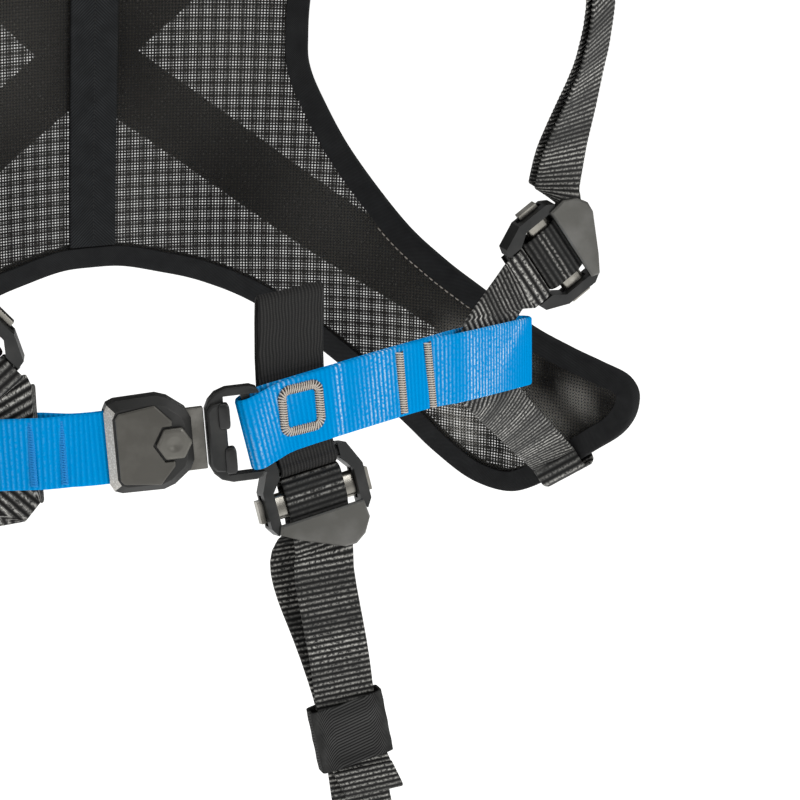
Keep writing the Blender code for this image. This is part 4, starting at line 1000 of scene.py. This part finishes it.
def front_webbing(name, side, adjuster):
    """Edge pairs from the wing, through the blue loop and its crease, to the turn round the fixed bar."""
    origin, across, along, out = adjuster_axes(adjuster)
    bar = origin + FIXED_BAR_V * along
    (crease_x, crease_z, half), bottom, top = FRONT_WEB[side]
    layer = WEB_THICK / 2 + CREASE_GAP
    crease = np.array([(crease_x, crease_z - half), (crease_x, crease_z + half)])
    bottom, top = np.array(bottom), np.array(top)

    def on_chest(ends, depth, shift=0.0):
        """Two (x, z) edge points on the chest strap's form, moved along x by shift and forwards by depth."""
        return chest_point(ends[:, 0] + shift, ends[:, 1], depth)

    pairs = wing_fold(side)
    lead = np.array(pairs[-1])
    pairs += [lead * (1 - share) + on_chest(bottom, -layer) * share for share in (1 / 3, 2 / 3)]
    pairs += [on_chest(bottom * (1 - share) + crease * share, -layer) for share in (0.0, 0.35, 0.7, 1.0)]
    pairs += [on_chest(crease, 0.0, -side * layer), on_chest(crease, layer)]
    pairs += [on_chest(crease * (1 - share) + top * share, layer) for share in (0.3, 0.65, 1.0)]
    plus = across * side * WEB_WIDTH / 2
    entry = bar - along * BAR_ENTRY + out * (WRAP_RADIUS + BAR_CLEARANCE)
    entry = np.array([entry + plus, entry - plus])
    pairs += [(np.array(pairs[-1]) + entry) / 2, entry]
    for degrees in range(90, -91, -20):
        angle = math.radians(degrees)
        place = bar + along * WRAP_RADIUS * math.cos(angle) + out * WRAP_RADIUS * math.sin(angle)
        pairs.append([place + plus, place - plus])
    tail = bar - out * WRAP_RADIUS - along * SEWN_TAIL
    pairs.append([tail + plus, tail - plus])
    pairs = np.array(pairs)
    strap(name, pairs[:, 0], pairs[:, 1], WEB_THICK, coarse_webbing, pitch=COARSE_PITCH, sigma_mm=0.6,
          folded=True)


# Painted groove shade, a lighter rib tone and a painted glint highlight, as on the other webbing.
coarse_webbing = webbing_material("coarse_black_webbing", groove_shade="#060606", rib="#383837", glint="#e2e0da",
                                  pitch=COARSE_PITCH, gloss=BLACK_GLOSS)
front_webbing("front_webbing_right", 1, "right")
front_webbing("front_webbing_left", -1, "left")

# %% [markdown]
# ## Standing loop and lower strap
#
# A loop of softer, duller webbing, ribbed lengthwise, stands behind the blue strap and carries the lower
# adjuster. The lower strap turns round that adjuster's slide bar; its two strands go down together
# through an elastic keeper. The free end is folded over so that it can't slip out, and the other ends in
# a sewn loop.

# %% Standing loop
LOOP_WIDTH = 29.0
LOOP_NARROW = 25.0
LOOP_BACK_Y = -184.6
LOOP_LINE = (
    # x, y from LOOP_BACK_Y, z
    (21.6, -0.1, -13), (18.6, 0.7, 2), (18.3, 1.1, 18), (18.5, 0.6, 34),
    (18.7, 0.7, 42.8), (18.7, 2.5, 44.6), (18.7, 4.3, 42.8),
    (18.5, 4.6, 34), (18.3, 4.6, 18), (18.6, 4.2, 2), (21.6, 4.5, -13),
)


def long_rib_material(name, groove_shade, rib, pitch):
    """Ribs along the piece: painted groove shade by the ridge wave across it, which slow noise shifts a
    little.
    """
    material, tree, shader = new_material(name, 0.7, Specular_IOR_Level=0.2)
    place, across, along = split_map(tree)
    slow = add_node(tree, "ShaderNodeTexNoise", {"Vector": place, "Scale": 0.07, "Detail": 1.0})
    moved = add_node(tree, "ShaderNodeMath", {0: slow, 1: 3.0, 2: across}, operation="MULTIPLY_ADD")
    ridge = wave(tree, moved, pitch)
    fine = wave(tree, along, 0.8)
    share = add_node(tree, "ShaderNodeMath", {0: fine, 1: 0.35, 2: 0.65}, operation="MULTIPLY_ADD")
    share = add_node(tree, "ShaderNodeMath", {0: share, 1: ridge}, operation="MULTIPLY")
    # Painted shade: the grooves get the dark colour, the rib tops the lighter one.
    colour = add_node(tree, "ShaderNodeMix", {0: share, 6: groove_shade, 7: rib}, data_type="RGBA")
    bump = add_node(tree, "ShaderNodeBump", {"Strength": 0.8, "Distance": 0.0004, "Height": share})
    plug(tree, shader, {"Base Color": colour, "Normal": bump})
    return material


# Soft webbing: painted groove shade and a lighter rib tone.
soft_webbing = long_rib_material("soft_black_webbing", "#161616", "#353433", 1.4)


def sternal_loop():
    """Standing rows, then the turn round the lower adjuster's fixed bar, where the loop is narrower."""
    origin, across, along, out = adjuster_axes("lower")
    bar = origin + FIXED_BAR_V * along
    standing = np.array(LOOP_LINE, float) + (0, LOOP_BACK_Y, 0)
    angle = np.radians(np.arange(-120, 121, 20))[:, None]
    wrap = bar + WRAP_RADIUS * (along * np.cos(angle) + out * np.sin(angle))
    path = np.vstack([standing, wrap])
    widths = np.full(len(path), LOOP_NARROW)
    widths[1:len(standing) - 1] = LOOP_WIDTH
    upright = np.tile([1.0, 0.05, 0.06], (len(path), 1))
    upright[-len(wrap):] = -across
    left, right = band_edges(path, upright, widths)
    strap("sternal_loop", left, right, WEB_THICK, soft_webbing, closed=True, relief=0.1, lengthwise=0.06,
          sigma_mm=0.8)


sternal_loop()

# %% Lower strap
LOWER_FRONT = (
    # x, y, z
    (29.0, -190.0, -76.0), (30.6, -192.5, -92.0), (32.6, -194.2, -107.0), (34.0, -195.3, -120.0),
)
LOWER_REAR = (
    (23.6, -179.6, -67.0), (23.0, -179.5, -77.0), (25.5, -180.5, -89.0), (28.9, -183.5, -101.0),
    (31.8, -189.0, -114.0),
)
LOWER_LINE = (
    (34.9, -195.8, -129.5), (36.0, -196.3, -136.0), (37.6, -197.0, -146.0), (39.6, -197.9, -158.0),
)
FREE_END = (46.0, -199.5, -174.0)
MAIN_END = (
    (41.5, -197.5, -178.0), (45.5, -198.5, -200.0), (48.5, -199.0, -218.0),
)
LOWER_WIDTH = np.array([1.0, -0.06, 0.03])
STRAND_STEP = WEB_THICK + GAP + 0.1
END_LOOP_LENGTH = 34.0
END_LOOP_RADIUS = 4.5
END_LOOP_NECK = 7.0
END_LOOP_SEWN = 20.0
FREE_FOLD = 12.5
FOLD_LEAD = 1.5
FOLD_DEPTH = 1.2


def lower_strap():
    """Folded free end, front strand, wrap, rear strand, and the end loop turned back on itself."""
    wrap, across = wrap_slide_bar("lower", LOWER_WRAP_FRONT, LOWER_WRAP_REAR)
    step = np.array([0.0, STRAND_STEP, 0.0])
    line = np.asarray(LOWER_LINE)
    front = smooth_rows(np.vstack([wrap[0], LOWER_FRONT, line, [FREE_END]]), 2)[1:]
    rear = smooth_rows(np.vstack([wrap[-1], LOWER_REAR, line + step, MAIN_END]), 2)[1:]
    down = unit(rear[-1] - rear[-2])
    behind = np.cross(unit(LOWER_WIDTH), down)
    bottom = rear[-1] + down * (END_LOOP_LENGTH - END_LOOP_RADIUS)
    angle = np.radians(np.arange(0, 181, 20))[:, None]
    turn = bottom + END_LOOP_RADIUS * (behind * (1 - np.cos(angle)) + down * np.sin(angle))
    eye = [rear[-1] + behind * 2 * END_LOOP_RADIUS + down * END_LOOP_NECK,
           rear[-1] + behind * STRAND_STEP - down * END_LOOP_NECK,
           rear[-1] + behind * STRAND_STEP - down * END_LOOP_SEWN]
    up = unit(front[-2] - front[-1])
    fold = front[-1] - step
    tail = [fold + up * FREE_FOLD, fold + up * FOLD_LEAD, front[-1] - step / 2 - up * FOLD_DEPTH]
    path = np.vstack([tail, front[::-1], wrap, rear, turn, eye])
    widths = np.tile(LOWER_WIDTH, (len(path), 1))
    start = len(tail) + len(front)
    widths[start:start + len(wrap)] = -across
    left, right = band_edges(path, widths, WEB_WIDTH)
    strap("lower_strap", left, right, WEB_THICK, black_webbing, sigma_mm=0.6, glints=roll_glints("lower"))


lower_strap()

# %% Keeper
KEEPER_HEIGHT = 28.0
KEEPER_WALL = 1.1
KEEPER_INSIDE = 0.1
KEEPER_RIPPLE = 0.15
KEEPER_RIPPLE_LENGTH = 3
KEEPER_PLAY = 2.1
KEEPER_PLAY_DEPTH = 1.15
KEEPER_SHIFT = (-0.6, 0.0, 1.0)
KEEPER_SQUARENESS = 0.28
elastic_tape = tape_material("black_elastic", "#101010", "#5a5a59", 1.3)


def keeper():
    """Flat ring round both strands: a rounded rectangle carried down the strap, with a wall of elastic."""
    line = np.asarray(LOWER_LINE)
    down = unit(line[-1] - line[1])
    across = unit(LOWER_WIDTH - np.dot(LOWER_WIDTH, down) * down)
    out = np.cross(across, down)
    centre = (line[1] + line[-1]) / 2 + KEEPER_SHIFT + np.array([0.0, STRAND_STEP / 2, 0.0])
    half_width = WEB_WIDTH / 2 + KEEPER_PLAY
    half_depth = STRAND_STEP + KEEPER_PLAY_DEPTH
    angle = np.linspace(0, 2 * math.pi, 96, endpoint=False)
    corner = [np.sign(turn) * np.abs(turn) ** KEEPER_SQUARENESS for turn in (np.cos(angle), np.sin(angle))]

    def ring(grow, level):
        """Superellipse: sign and a small power of cosine and sine, so that the sides are nearly flat."""
        u = corner[0] * (half_width + grow)
        v = corner[1] * (half_depth + grow)
        return centre + u[:, None] * across + v[:, None] * out + level * down

    half = KEEPER_HEIGHT / 2
    levels = np.linspace(-half, half, 30)
    outer = [ring(KEEPER_WALL - KEEPER_RIPPLE * abs(math.sin(level / KEEPER_RIPPLE_LENGTH)), level)
             for level in levels]
    inner = [ring(KEEPER_INSIDE, level) for level in levels[::-1]]
    points = np.stack(outer + inner, axis=1)
    walk = np.concatenate([levels, levels[::-1]])
    girth = 4 * (half_width + half_depth)
    at = np.linspace(0, girth, len(angle), endpoint=False)
    uv = np.stack(np.broadcast_arrays(walk[None, :], at[:, None]), axis=-1)
    tube_piece("elastic_keeper", points, uv, True, girth, elastic_tape, ["elastic_keeper"])


keeper()

# %% [markdown]
# ## Metal fittings
#
# The CAD solids of the fittings have the right shape but hard corners. Each is copied, its doubled points
# are merged, flat faces are joined, and a small bevel gives the rounded edges that stamped and tumbled
# steel has. The frames are stamped steel under a dark coat, which shows broad dull highlights. The slide
# bars are nickel plated and mirror what is round them. The buckle looks like anodised aluminium alloy:
# satin, dark on the body and grey on the cover. Its slanted faces on the strap's side face the light, and
# they get a painted highlight in pale grey.

# %% Metal materials
GRIT_MM = 0.25


def metal_material(name, colour, mottle_tone, roughness, metallic, grain_mm):
    """Coated metal: slow noise moves its colour a little towards the mottle tone and changes its roughness.
    """
    material, tree, shader = new_material(name, roughness, Metallic=metallic)
    place = add_node(tree, "ShaderNodeTexCoord", {}).node.outputs["Object"]
    cloud = add_node(tree, "ShaderNodeTexNoise", {"Vector": place, "Scale": 1000 / grain_mm, "Detail": 4.0})
    fine = add_node(tree, "ShaderNodeTexNoise", {"Vector": place, "Scale": 1000 / GRIT_MM, "Detail": 2.0})
    share = add_node(tree, "ShaderNodeMapRange", {0: cloud, 1: 0.45, 2: 0.75, 3: 0.0, 4: 1.0})
    mottled = add_node(tree, "ShaderNodeMix", {0: share, 6: colour, 7: mottle_tone}, data_type="RGBA")
    rough = add_node(tree, "ShaderNodeMapRange", {0: cloud, 3: roughness - 0.08, 4: roughness + 0.1})
    bump = add_node(tree, "ShaderNodeBump", {"Strength": 0.12, "Distance": 0.0001, "Height": fine})
    plug(tree, shader, {"Base Color": mottled, "Roughness": rough, "Normal": bump})
    return material


# name, colour, mottle tone, roughness, metallic, grain in millimetres
dark_steel = metal_material("dark_coated_steel", "#1b1c1c", "#313130", 0.42, 0.3, 12.0)
plate_steel = metal_material("grey_coated_steel_plate", "#565551", "#6a6966", 0.40, 0.4, 14.0)
nickel = metal_material("nickel_plated_steel", "#8d8a83", "#b5b2aa", 0.28, 1.0, 8.0)
dark_alloy = metal_material("anodised_dark_alloy", "#222221", "#333231", 0.42, 0.3, 10.0)
latch_steel = metal_material("satin_latch_steel", "#605e59", "#7b7974", 0.38, 0.6, 8.0)
# Painted highlight on the buckle's slanted faces that face the light; both greys are painted light.
highlight_bevel = metal_material("painted_highlight_bevel", "#a9a6a1", "#dddbd7", 0.45, 0.3, 0.6)
cover_alloy = metal_material("anodised_grey_cover", "#4d4b46", "#5b5954", 0.45, 0.4, 10.0)

# %% Fittings
MERGE_DISTANCE = 0.00003
FLAT_ANGLE = math.radians(1.5)
SHARP_ANGLE = math.radians(35)
BEVEL_ANGLE = math.radians(30)
BEVEL_STEPS = 3
PLATE_START_V = 4.5
BUTTON_ALONG = 4.6
BUTTON_OUT = 7.9
DIMPLE_RADIUS = 3.6
DIMPLE_DEPTH = 0.0009


def fitting(node, materials, bevel_mm, chooser=None):
    """Copy of a CAD node with merged points, joined flats and a bevel; chooser picks faces' materials."""
    mesh = bpy.data.objects[node].data.copy()
    shape = bmesh.new()
    shape.from_mesh(mesh)
    bmesh.ops.remove_doubles(shape, verts=shape.verts, dist=MERGE_DISTANCE)
    bmesh.ops.dissolve_limit(shape, angle_limit=FLAT_ANGLE, verts=shape.verts, edges=shape.edges)
    bmesh.ops.recalc_face_normals(shape, faces=shape.faces)
    shape.to_mesh(mesh)
    shape.free()
    mesh.materials.clear()
    for material in materials:
        mesh.materials.append(material)
    index = np.zeros(len(mesh.polygons), np.int32)
    if chooser is not None:
        normals = np.array([p.normal for p in mesh.polygons])
        centres = np.array([p.center for p in mesh.polygons]) / MM + HANG_POINT
        index[:] = chooser(centres, normals)
    mesh.polygons.foreach_set("material_index", index)
    mesh.shade_smooth()
    mesh.set_sharp_from_angle(angle=SHARP_ANGLE)
    piece = adopt(node + "_shell", mesh, [node])
    bevel = piece.modifiers.new("soft_edges", "BEVEL")
    bevel.width = bevel_mm * MM
    bevel.segments = BEVEL_STEPS
    bevel.limit_method = "ANGLE"
    bevel.angle_limit = BEVEL_ANGLE
    bevel.harden_normals = True


def plate_faces(name):
    """Chooser: 1 for faces that look outwards and lie beyond the slide bar, on the face plate."""
    origin, across, along, out = adjuster_axes(name)

    def choose(centres, normals):
        """Distance beyond the slide bar over PLATE_START_V, and a normal that leans outwards."""
        return (((centres - origin) @ along > PLATE_START_V) & (normals @ out > 0.2)).astype(np.int32)
    return choose


def dimpled_material(name, colour, mottle_tone, centre_mm, radius_mm):
    """Satin alloy with a thumb dimple: the bump's height grows with the distance from its middle."""
    material, tree, shader = new_material(name, 0.4, Metallic=0.4)
    place = add_node(tree, "ShaderNodeTexCoord", {}).node.outputs["Object"]
    away = add_node(tree, "ShaderNodeVectorMath", {0: place, 1: tuple((centre_mm - HANG_POINT) * MM)},
                    operation="DISTANCE").node.outputs["Value"]
    height = add_node(tree, "ShaderNodeMapRange", {0: away, 1: 0.0, 2: radius_mm * MM, 3: 0.0, 4: 1.0},
                      interpolation_type="SMOOTHSTEP")
    cloud = add_node(tree, "ShaderNodeTexNoise", {"Vector": place, "Scale": 180.0, "Detail": 3.0})
    mottled = add_node(tree, "ShaderNodeMix", {0: cloud, 6: colour, 7: mottle_tone}, data_type="RGBA")
    bump = add_node(tree, "ShaderNodeBump", {"Strength": 1.0, "Distance": DIMPLE_DEPTH, "Height": height})
    plug(tree, shader, {"Base Color": mottled, "Normal": bump})
    return material


button_middle = BUCKLE_ORIGIN + BUTTON_ALONG * buckle_along + BUTTON_OUT * buckle_out
button_alloy = dimpled_material("dimpled_grey_alloy", "#55534e", "#6d6b65", button_middle, DIMPLE_RADIUS)


def lit_bevel_faces(centres, normals):
    """Chooser: 1 for the buckle's slanted faces on the strap's side, which face the light: painted
    highlight.
    """
    return ((normals @ buckle_along < -0.3) & (normals @ buckle_out > 0.25)).astype(np.int32)


for key in ADJUSTERS:
    fitting("adjuster_frame_" + key, [dark_steel, plate_steel], 0.5, plate_faces(key))
    fitting("adjuster_slide_bar_" + key, [nickel], 0.3)
fitting("buckle_body", [dark_alloy, highlight_bevel], 0.5, lit_bevel_faces)
fitting("buckle_cover", [cover_alloy], 0.25)
fitting("push_button", [button_alloy], 0.9)
fitting("latch_tongue", [latch_steel], 0.4)
fitting("strap_frame", [dark_steel], 0.6)

# %% [markdown]
# Two black catches of moulded plastic sit on the strap frame's bar, a little blacker and glossier than
# the steel. They are rounded boxes: a superellipse in the buckle's plane, drawn in at the front.

# %% Latch catches
CATCHES = {
    # name: along and up the buckle, half sizes the same way
    "latch_catch_upper": (25.2, 8.0, 2.3, 5.2),
    "latch_catch_lower": (26.6, -10.2, 2.3, 5.4),
}
CATCH_LEVELS = (
    # height outwards, share of the half sizes
    (2.5, 1.0), (5.4, 1.0), (5.85, 0.93), (6.0, 0.8),
)
CATCH_SQUARENESS = 0.4
catch_plastic = metal_material("black_catch_plastic", "#0a0a0a", "#1c1c1c", 0.35, 0.0, 3.0)


def catch(name, u, v, half_u, half_v):
    """Rings of a superellipse stacked along the buckle's outward axis, the last ones smaller."""
    angle = np.linspace(0, 2 * math.pi, 32, endpoint=False)
    shape = [np.sign(f(angle)) * np.abs(f(angle)) ** CATCH_SQUARENESS for f in (np.cos, np.sin)]
    points = np.stack([BUCKLE_ORIGIN + (u + size * half_u * shape[0])[:, None] * buckle_along
                       + (v + size * half_v * shape[1])[:, None] * buckle_up + level * buckle_out
                       for level, size in CATCH_LEVELS])
    uv = np.zeros(points.shape[:2] + (2,))
    tube_piece(name, points, uv, False, 0.0, catch_plastic)


for catch_name, sizes in CATCHES.items():
    catch(catch_name, *sizes)

# %% [markdown]
# ## Sewing
#
# The load-bearing seams are bar tacks: dense zigzag stitches in a pale grey polyester thread, twisted and
# a little shiny. Each stitch is its own short arched thread with a six-sided section, worked out for all
# stitches at once.

# %% Thread materials
TWIST_PITCH = 0.5


def thread_material(name, dark, light):
    """Twisted thread: slanted ridges, TWIST_PITCH apart."""
    material, tree, shader = new_material(name, 0.6, Specular_IOR_Level=0.3)
    across, along = split_map(tree)[1:]
    twist = add_node(tree, "ShaderNodeMath", {0: along, 1: across}, operation="ADD")
    ridge = wave(tree, twist, TWIST_PITCH)
    colour = add_node(tree, "ShaderNodeMix", {0: ridge, 6: dark, 7: light}, data_type="RGBA")
    plug(tree, shader, {"Base Color": colour})
    return material


grey_thread = thread_material("grey_polyester_thread", "#a0978c", "#ded6cc")
blue_thread = thread_material("blue_polyester_thread", "#006fb4", "#1c97e0")
# A darker copy of the grey thread: painted shade for the return stitches of the grey seams.
shaded_thread = thread_material("shaded_grey_thread", "#2e2a25", "#554d45")
black_thread = thread_material("black_polyester_thread", "#0b0b0b", "#1d1d1d")

# %% Rows of stitches
THREAD_PROFILE = (
    # share of the length, share of the radius, share of the rise
    (0.0, 0.35, -0.6), (0.12, 0.9, 0.1), (0.5, 1.0, 1.0), (0.88, 0.9, 0.1), (1.0, 0.35, -0.6),
)


def threads(name, starts, ends, normals, radius, rise, material):
    """Half-buried threads from starts to ends: they rise in the middle and thin out at the tips."""
    starts, ends, normals = (np.asarray(v, float) for v in (starts, ends, normals))
    share, thick, arch = np.array(THREAD_PROFILE).T
    thick = thick * radius
    arch = arch * rise
    angle = np.arange(6) * math.pi / 3
    along = unit(ends - starts)
    side = unit(np.cross(normals, along))
    up = np.cross(along, side)
    middle = (starts[:, None] + (ends - starts)[:, None] * share[None, :, None]
              + up[:, None] * arch[None, :, None])
    ring = (side[:, None, None] * np.cos(angle)[None, None, :, None]
            + up[:, None, None] * np.sin(angle)[None, None, :, None]) * thick[None, :, None, None]
    points = middle[:, :, None] + ring
    count, stations, sides = points.shape[:3]
    row, column = grid_faces(stations, sides, False)
    quads = row * sides + column % sides
    caps = np.array([np.arange(sides), np.arange(sides) + (stations - 1) * sides])
    offset = (np.arange(count) * stations * sides)[:, None, None]
    faces = (quads[None] + offset).reshape(-1, 4).tolist()
    faces += (caps[None] + offset).reshape(-1, sides).tolist()
    length = np.linalg.norm(ends - starts, axis=1)
    round_it, walk = np.broadcast_arrays(angle * radius, share[None, :, None] * length[:, None, None])
    grid = np.stack([round_it, walk], axis=-1).reshape(-1, 2)
    corner_uv = grid[np.concatenate([np.array(face) for face in faces])]
    make_piece(name, points.reshape(-1, 3), faces, corner_uv, [material])


# %% [markdown]
# The box stitch and the two bar tacks on the blue strap, and the tone-on-tone tacks by the buckle, are
# given by their middle lines on the strap's front face. A stitch crosses the line with a slight slant.
# Each seam has two rows of threads: the outward ones catch the light, and their return lies between them;
# on the grey seams it is a darker copy of the thread, which is painted shade.

# %% Stitches on the blue strap
STITCH_SPACING = 1.0
STITCH_FLOAT = 0.02


def front_half_gap(x):
    """Half gap between the blue strap's layers at x, read from the table that shaped it."""
    table = np.array(sorted(CHEST_RIGHT + CHEST_LEFT))
    return np.interp(x, table[:, 0], table[:, 2])


def on_front(line):
    """Places and outward normals on the blue strap's front face for (x, z) rows."""
    x, z = np.asarray(line, float).T
    depth = front_half_gap(x) + BLUE_THICK + STITCH_FLOAT
    place = chest_point(x, z, depth)
    return place, unit(chest_point(x, z, depth + 1.0) - place)


def zigzag(name, line, width, material, closed, radius, lean, rise):
    """Stitches across a line: from half a width on one side to half a width on the other, with a slant."""
    rows = np.asarray(line, float)
    if closed:
        rows = np.vstack([rows, rows[:1]])
    length = arc_length(rows)
    half = STITCH_SPACING / 2
    at = np.arange(half, length[-1], STITCH_SPACING)
    middle = rows_at(at, length, rows)
    ahead = rows_at((at + half) % length[-1], length, rows)
    behind = rows_at((at - half) % length[-1], length, rows)
    direction = unit(ahead - behind) if closed else np.broadcast_to(unit(rows[-1] - rows[0]), middle.shape)
    across = np.column_stack([-direction[:, 1], direction[:, 0]]) * width / 2
    slant = direction * STITCH_SPACING * lean
    start, normal = on_front(middle - across - slant)
    end, _ = on_front(middle + across + slant)
    threads(name, start, end, normal, radius, rise, material)


def rounded_box(centre, half_x, half_z, corner, turn):
    """Closed line: a box with quarter circles at its corners, turned by an angle."""
    angle = np.radians(np.arange(0, 360, 10)) + 1e-6
    x = np.cos(angle) * corner + np.sign(np.cos(angle)) * (half_x - corner)
    z = np.sin(angle) * corner + np.sign(np.sin(angle)) * (half_z - corner)
    return np.column_stack([centre[0] + x * math.cos(turn) - z * math.sin(turn),
                            centre[1] + x * math.sin(turn) + z * math.cos(turn)])


SEAMS = {
    # name: middle line as (x, z) rows, width, closed, outward thread, return thread, painted shade on grey
    # seams
    "box_stitch": (rounded_box((19.2, -2.5), 8.3, 8.6, 3.2, 0.05), 4.0, True, grey_thread, shaded_thread),
    "bar_tack_inner": (((66.7, 10.8), (68.1, -15.2)), 4.0, False, grey_thread, shaded_thread),
    "bar_tack_outer": (((81.8, 11.2), (83.6, -16.4)), 4.0, False, grey_thread, shaded_thread),
    "blue_tack_inner": (((-74.6, 2.3), (-74.6, -23.9)), 2.6, False, blue_thread, blue_thread),
    "blue_tack_outer": (((-85.3, 2.3), (-85.3, -23.9)), 2.6, False, blue_thread, blue_thread),
}
for seam, (line, width, closed, outward, back) in SEAMS.items():
    zigzag(seam, line, width, outward, closed, radius=0.4, lean=0.6, rise=0.42)
    zigzag(seam + "_return", line, width, back, closed, radius=0.38, lean=-0.3, rise=0.25)

# %% [markdown]
# Two running seams show on the panel: a grey one beside the binding at the armhole, where the crossed
# webbing is caught, and a black one up the middle of the centre band. A stitch is 2 mm long every 3 mm.

# %% Running seams
RUNNING_PITCH = 3.0
RUNNING_STITCH = 2.0
RUNNING_RADIUS = 0.28
RUNNING_RISE = 0.2
RUNNING_START = 0.5
ARMHOLE_STEPS = slice(137, 156)
NET_SEAM_HEIGHT = 1.45
BAND_SEAM_T = (20, 175)
BAND_SEAM_ROWS = 40
BAND_SEAM_HEIGHT = BAND_FLOOR + BAND_THICK + 0.05


def running(name, places, normals, material):
    """Stitches along a line of places: one starts every RUNNING_PITCH and is RUNNING_STITCH long."""
    length = arc_length(places)
    at = np.arange(RUNNING_START, length[-1] - RUNNING_STITCH, RUNNING_PITCH)
    start = rows_at(at, length, places)
    end = rows_at(at + RUNNING_STITCH, length, places)
    threads(name, start, end, rows_at(at, length, normals), RUNNING_RADIUS, RUNNING_RISE, material)


def on_panel(rows, n):
    """Places at height n over the panel's middle sheet, and the sheet's inward normals there."""
    s, t = np.asarray(rows, float).T
    place = panel_point(s, t, np.full(len(s), n))
    return place, unit(panel_point(s, t, np.full(len(s), n + 1.0)) - place)


outline = panel_loop(LOOP_STEP)
seam_rows = (outline + inward_of(outline) * (BINDING_WIDTH + 1.0))[ARMHOLE_STEPS]
running("binding_seam", *on_panel(seam_rows, NET_SEAM_HEIGHT), grey_thread)
middle_rows = np.column_stack([np.zeros(BAND_SEAM_ROWS), np.linspace(*BAND_SEAM_T, BAND_SEAM_ROWS)])
running("centre_seam", *on_panel(middle_rows, BAND_SEAM_HEIGHT), black_thread)

# %% [markdown]
# ## Floor, light and camera
#
# The photograph is a product shot on white: a soft light from the upper right, a weak one from the left,
# a broad one overhead and a bright ground. The camera stands where the perspective of the strap and the
# panel puts it, 26 degrees round to the picture's left and 20 degrees up, with a long lens.

# %% Studio
FLOOR_Z = -0.62
FLOOR_HALF = 6.0
PAPER_GLOW = 0.7
AIR_LIGHT = 0.35
floor_corners = [(x * FLOOR_HALF, y * FLOOR_HALF, FLOOR_Z) for x, y in ((-1, -1), (1, -1), (1, 1), (-1, 1))]
floor_mesh = bpy.data.meshes.new("studio_floor")
floor_mesh.from_pydata(floor_corners, [], [(0, 1, 2, 3)])
floor = bpy.data.objects.new("studio_floor", floor_mesh)
bpy.context.scene.collection.objects.link(floor)
paper, paper_tree, paper_shader = new_material("white_paper", 0.9)
paper_shader.inputs["Base Color"].default_value = linear("#f7f7f6")
paper_shader.inputs["Emission Color"].default_value = linear("#fbfbfa")
paper_shader.inputs["Emission Strength"].default_value = PAPER_GLOW
floor_mesh.materials.append(paper)

world = bpy.data.worlds.new("studio_air")
world.use_nodes = True
world.node_tree.nodes["Background"].inputs["Color"].default_value = linear("#fbfbfa")
world.node_tree.nodes["Background"].inputs["Strength"].default_value = AIR_LIGHT
bpy.context.scene.world = world
bpy.context.scene.view_settings.view_transform = "Standard"

# %% Lights
LIGHT_AIM = Vector((0, 0, -0.25))
LIGHTS = {
    # name: place, size (metres), power (watts)
    "key_light": ((0.9, -1.5, 0.7), 0.8, 15),
    "fill_light": ((-1.5, -0.9, 0.3), 0.8, 3),
    "top_light": ((0.1, 0.2, 1.6), 1.4, 8),
}


def area_light(name, place, size, power):
    """Square soft light at a place in metres, looking at LIGHT_AIM."""
    light = bpy.data.lights.new(name, "AREA")
    light.size = size
    light.energy = power
    item = bpy.data.objects.new(name, light)
    item.location = place
    item.rotation_euler = (LIGHT_AIM - Vector(place)).to_track_quat("-Z", "Y").to_euler()
    bpy.context.scene.collection.objects.link(item)


for light_name, settings in LIGHTS.items():
    area_light(light_name, *settings)
print("lights:", ", ".join(LIGHTS))

# %% Camera
CAMERA_LENS = 125.3
CAMERA_SENSOR = 36
CAMERA_PLACE = np.array([-400.7, -1141.6, 378.8])
CAMERA_AIM = np.array([52.4, -212.5, 2.6])

camera_data = bpy.data.cameras.new("photo_camera")
camera_data.lens = CAMERA_LENS
camera_data.sensor_width = CAMERA_SENSOR
camera_data.clip_start = 0.05
camera = bpy.data.objects.new("photo_camera", camera_data)
camera_place = (CAMERA_PLACE - HANG_POINT) * MM
camera_aim = (CAMERA_AIM - HANG_POINT) * MM
camera.location = camera_place
camera.rotation_euler = Vector(camera_aim - camera_place).to_track_quat("-Z", "Y").to_euler()
bpy.context.scene.collection.objects.link(camera)
bpy.context.scene.camera = camera
print("camera to aim: %.3f m" % np.linalg.norm(camera_aim - camera_place))
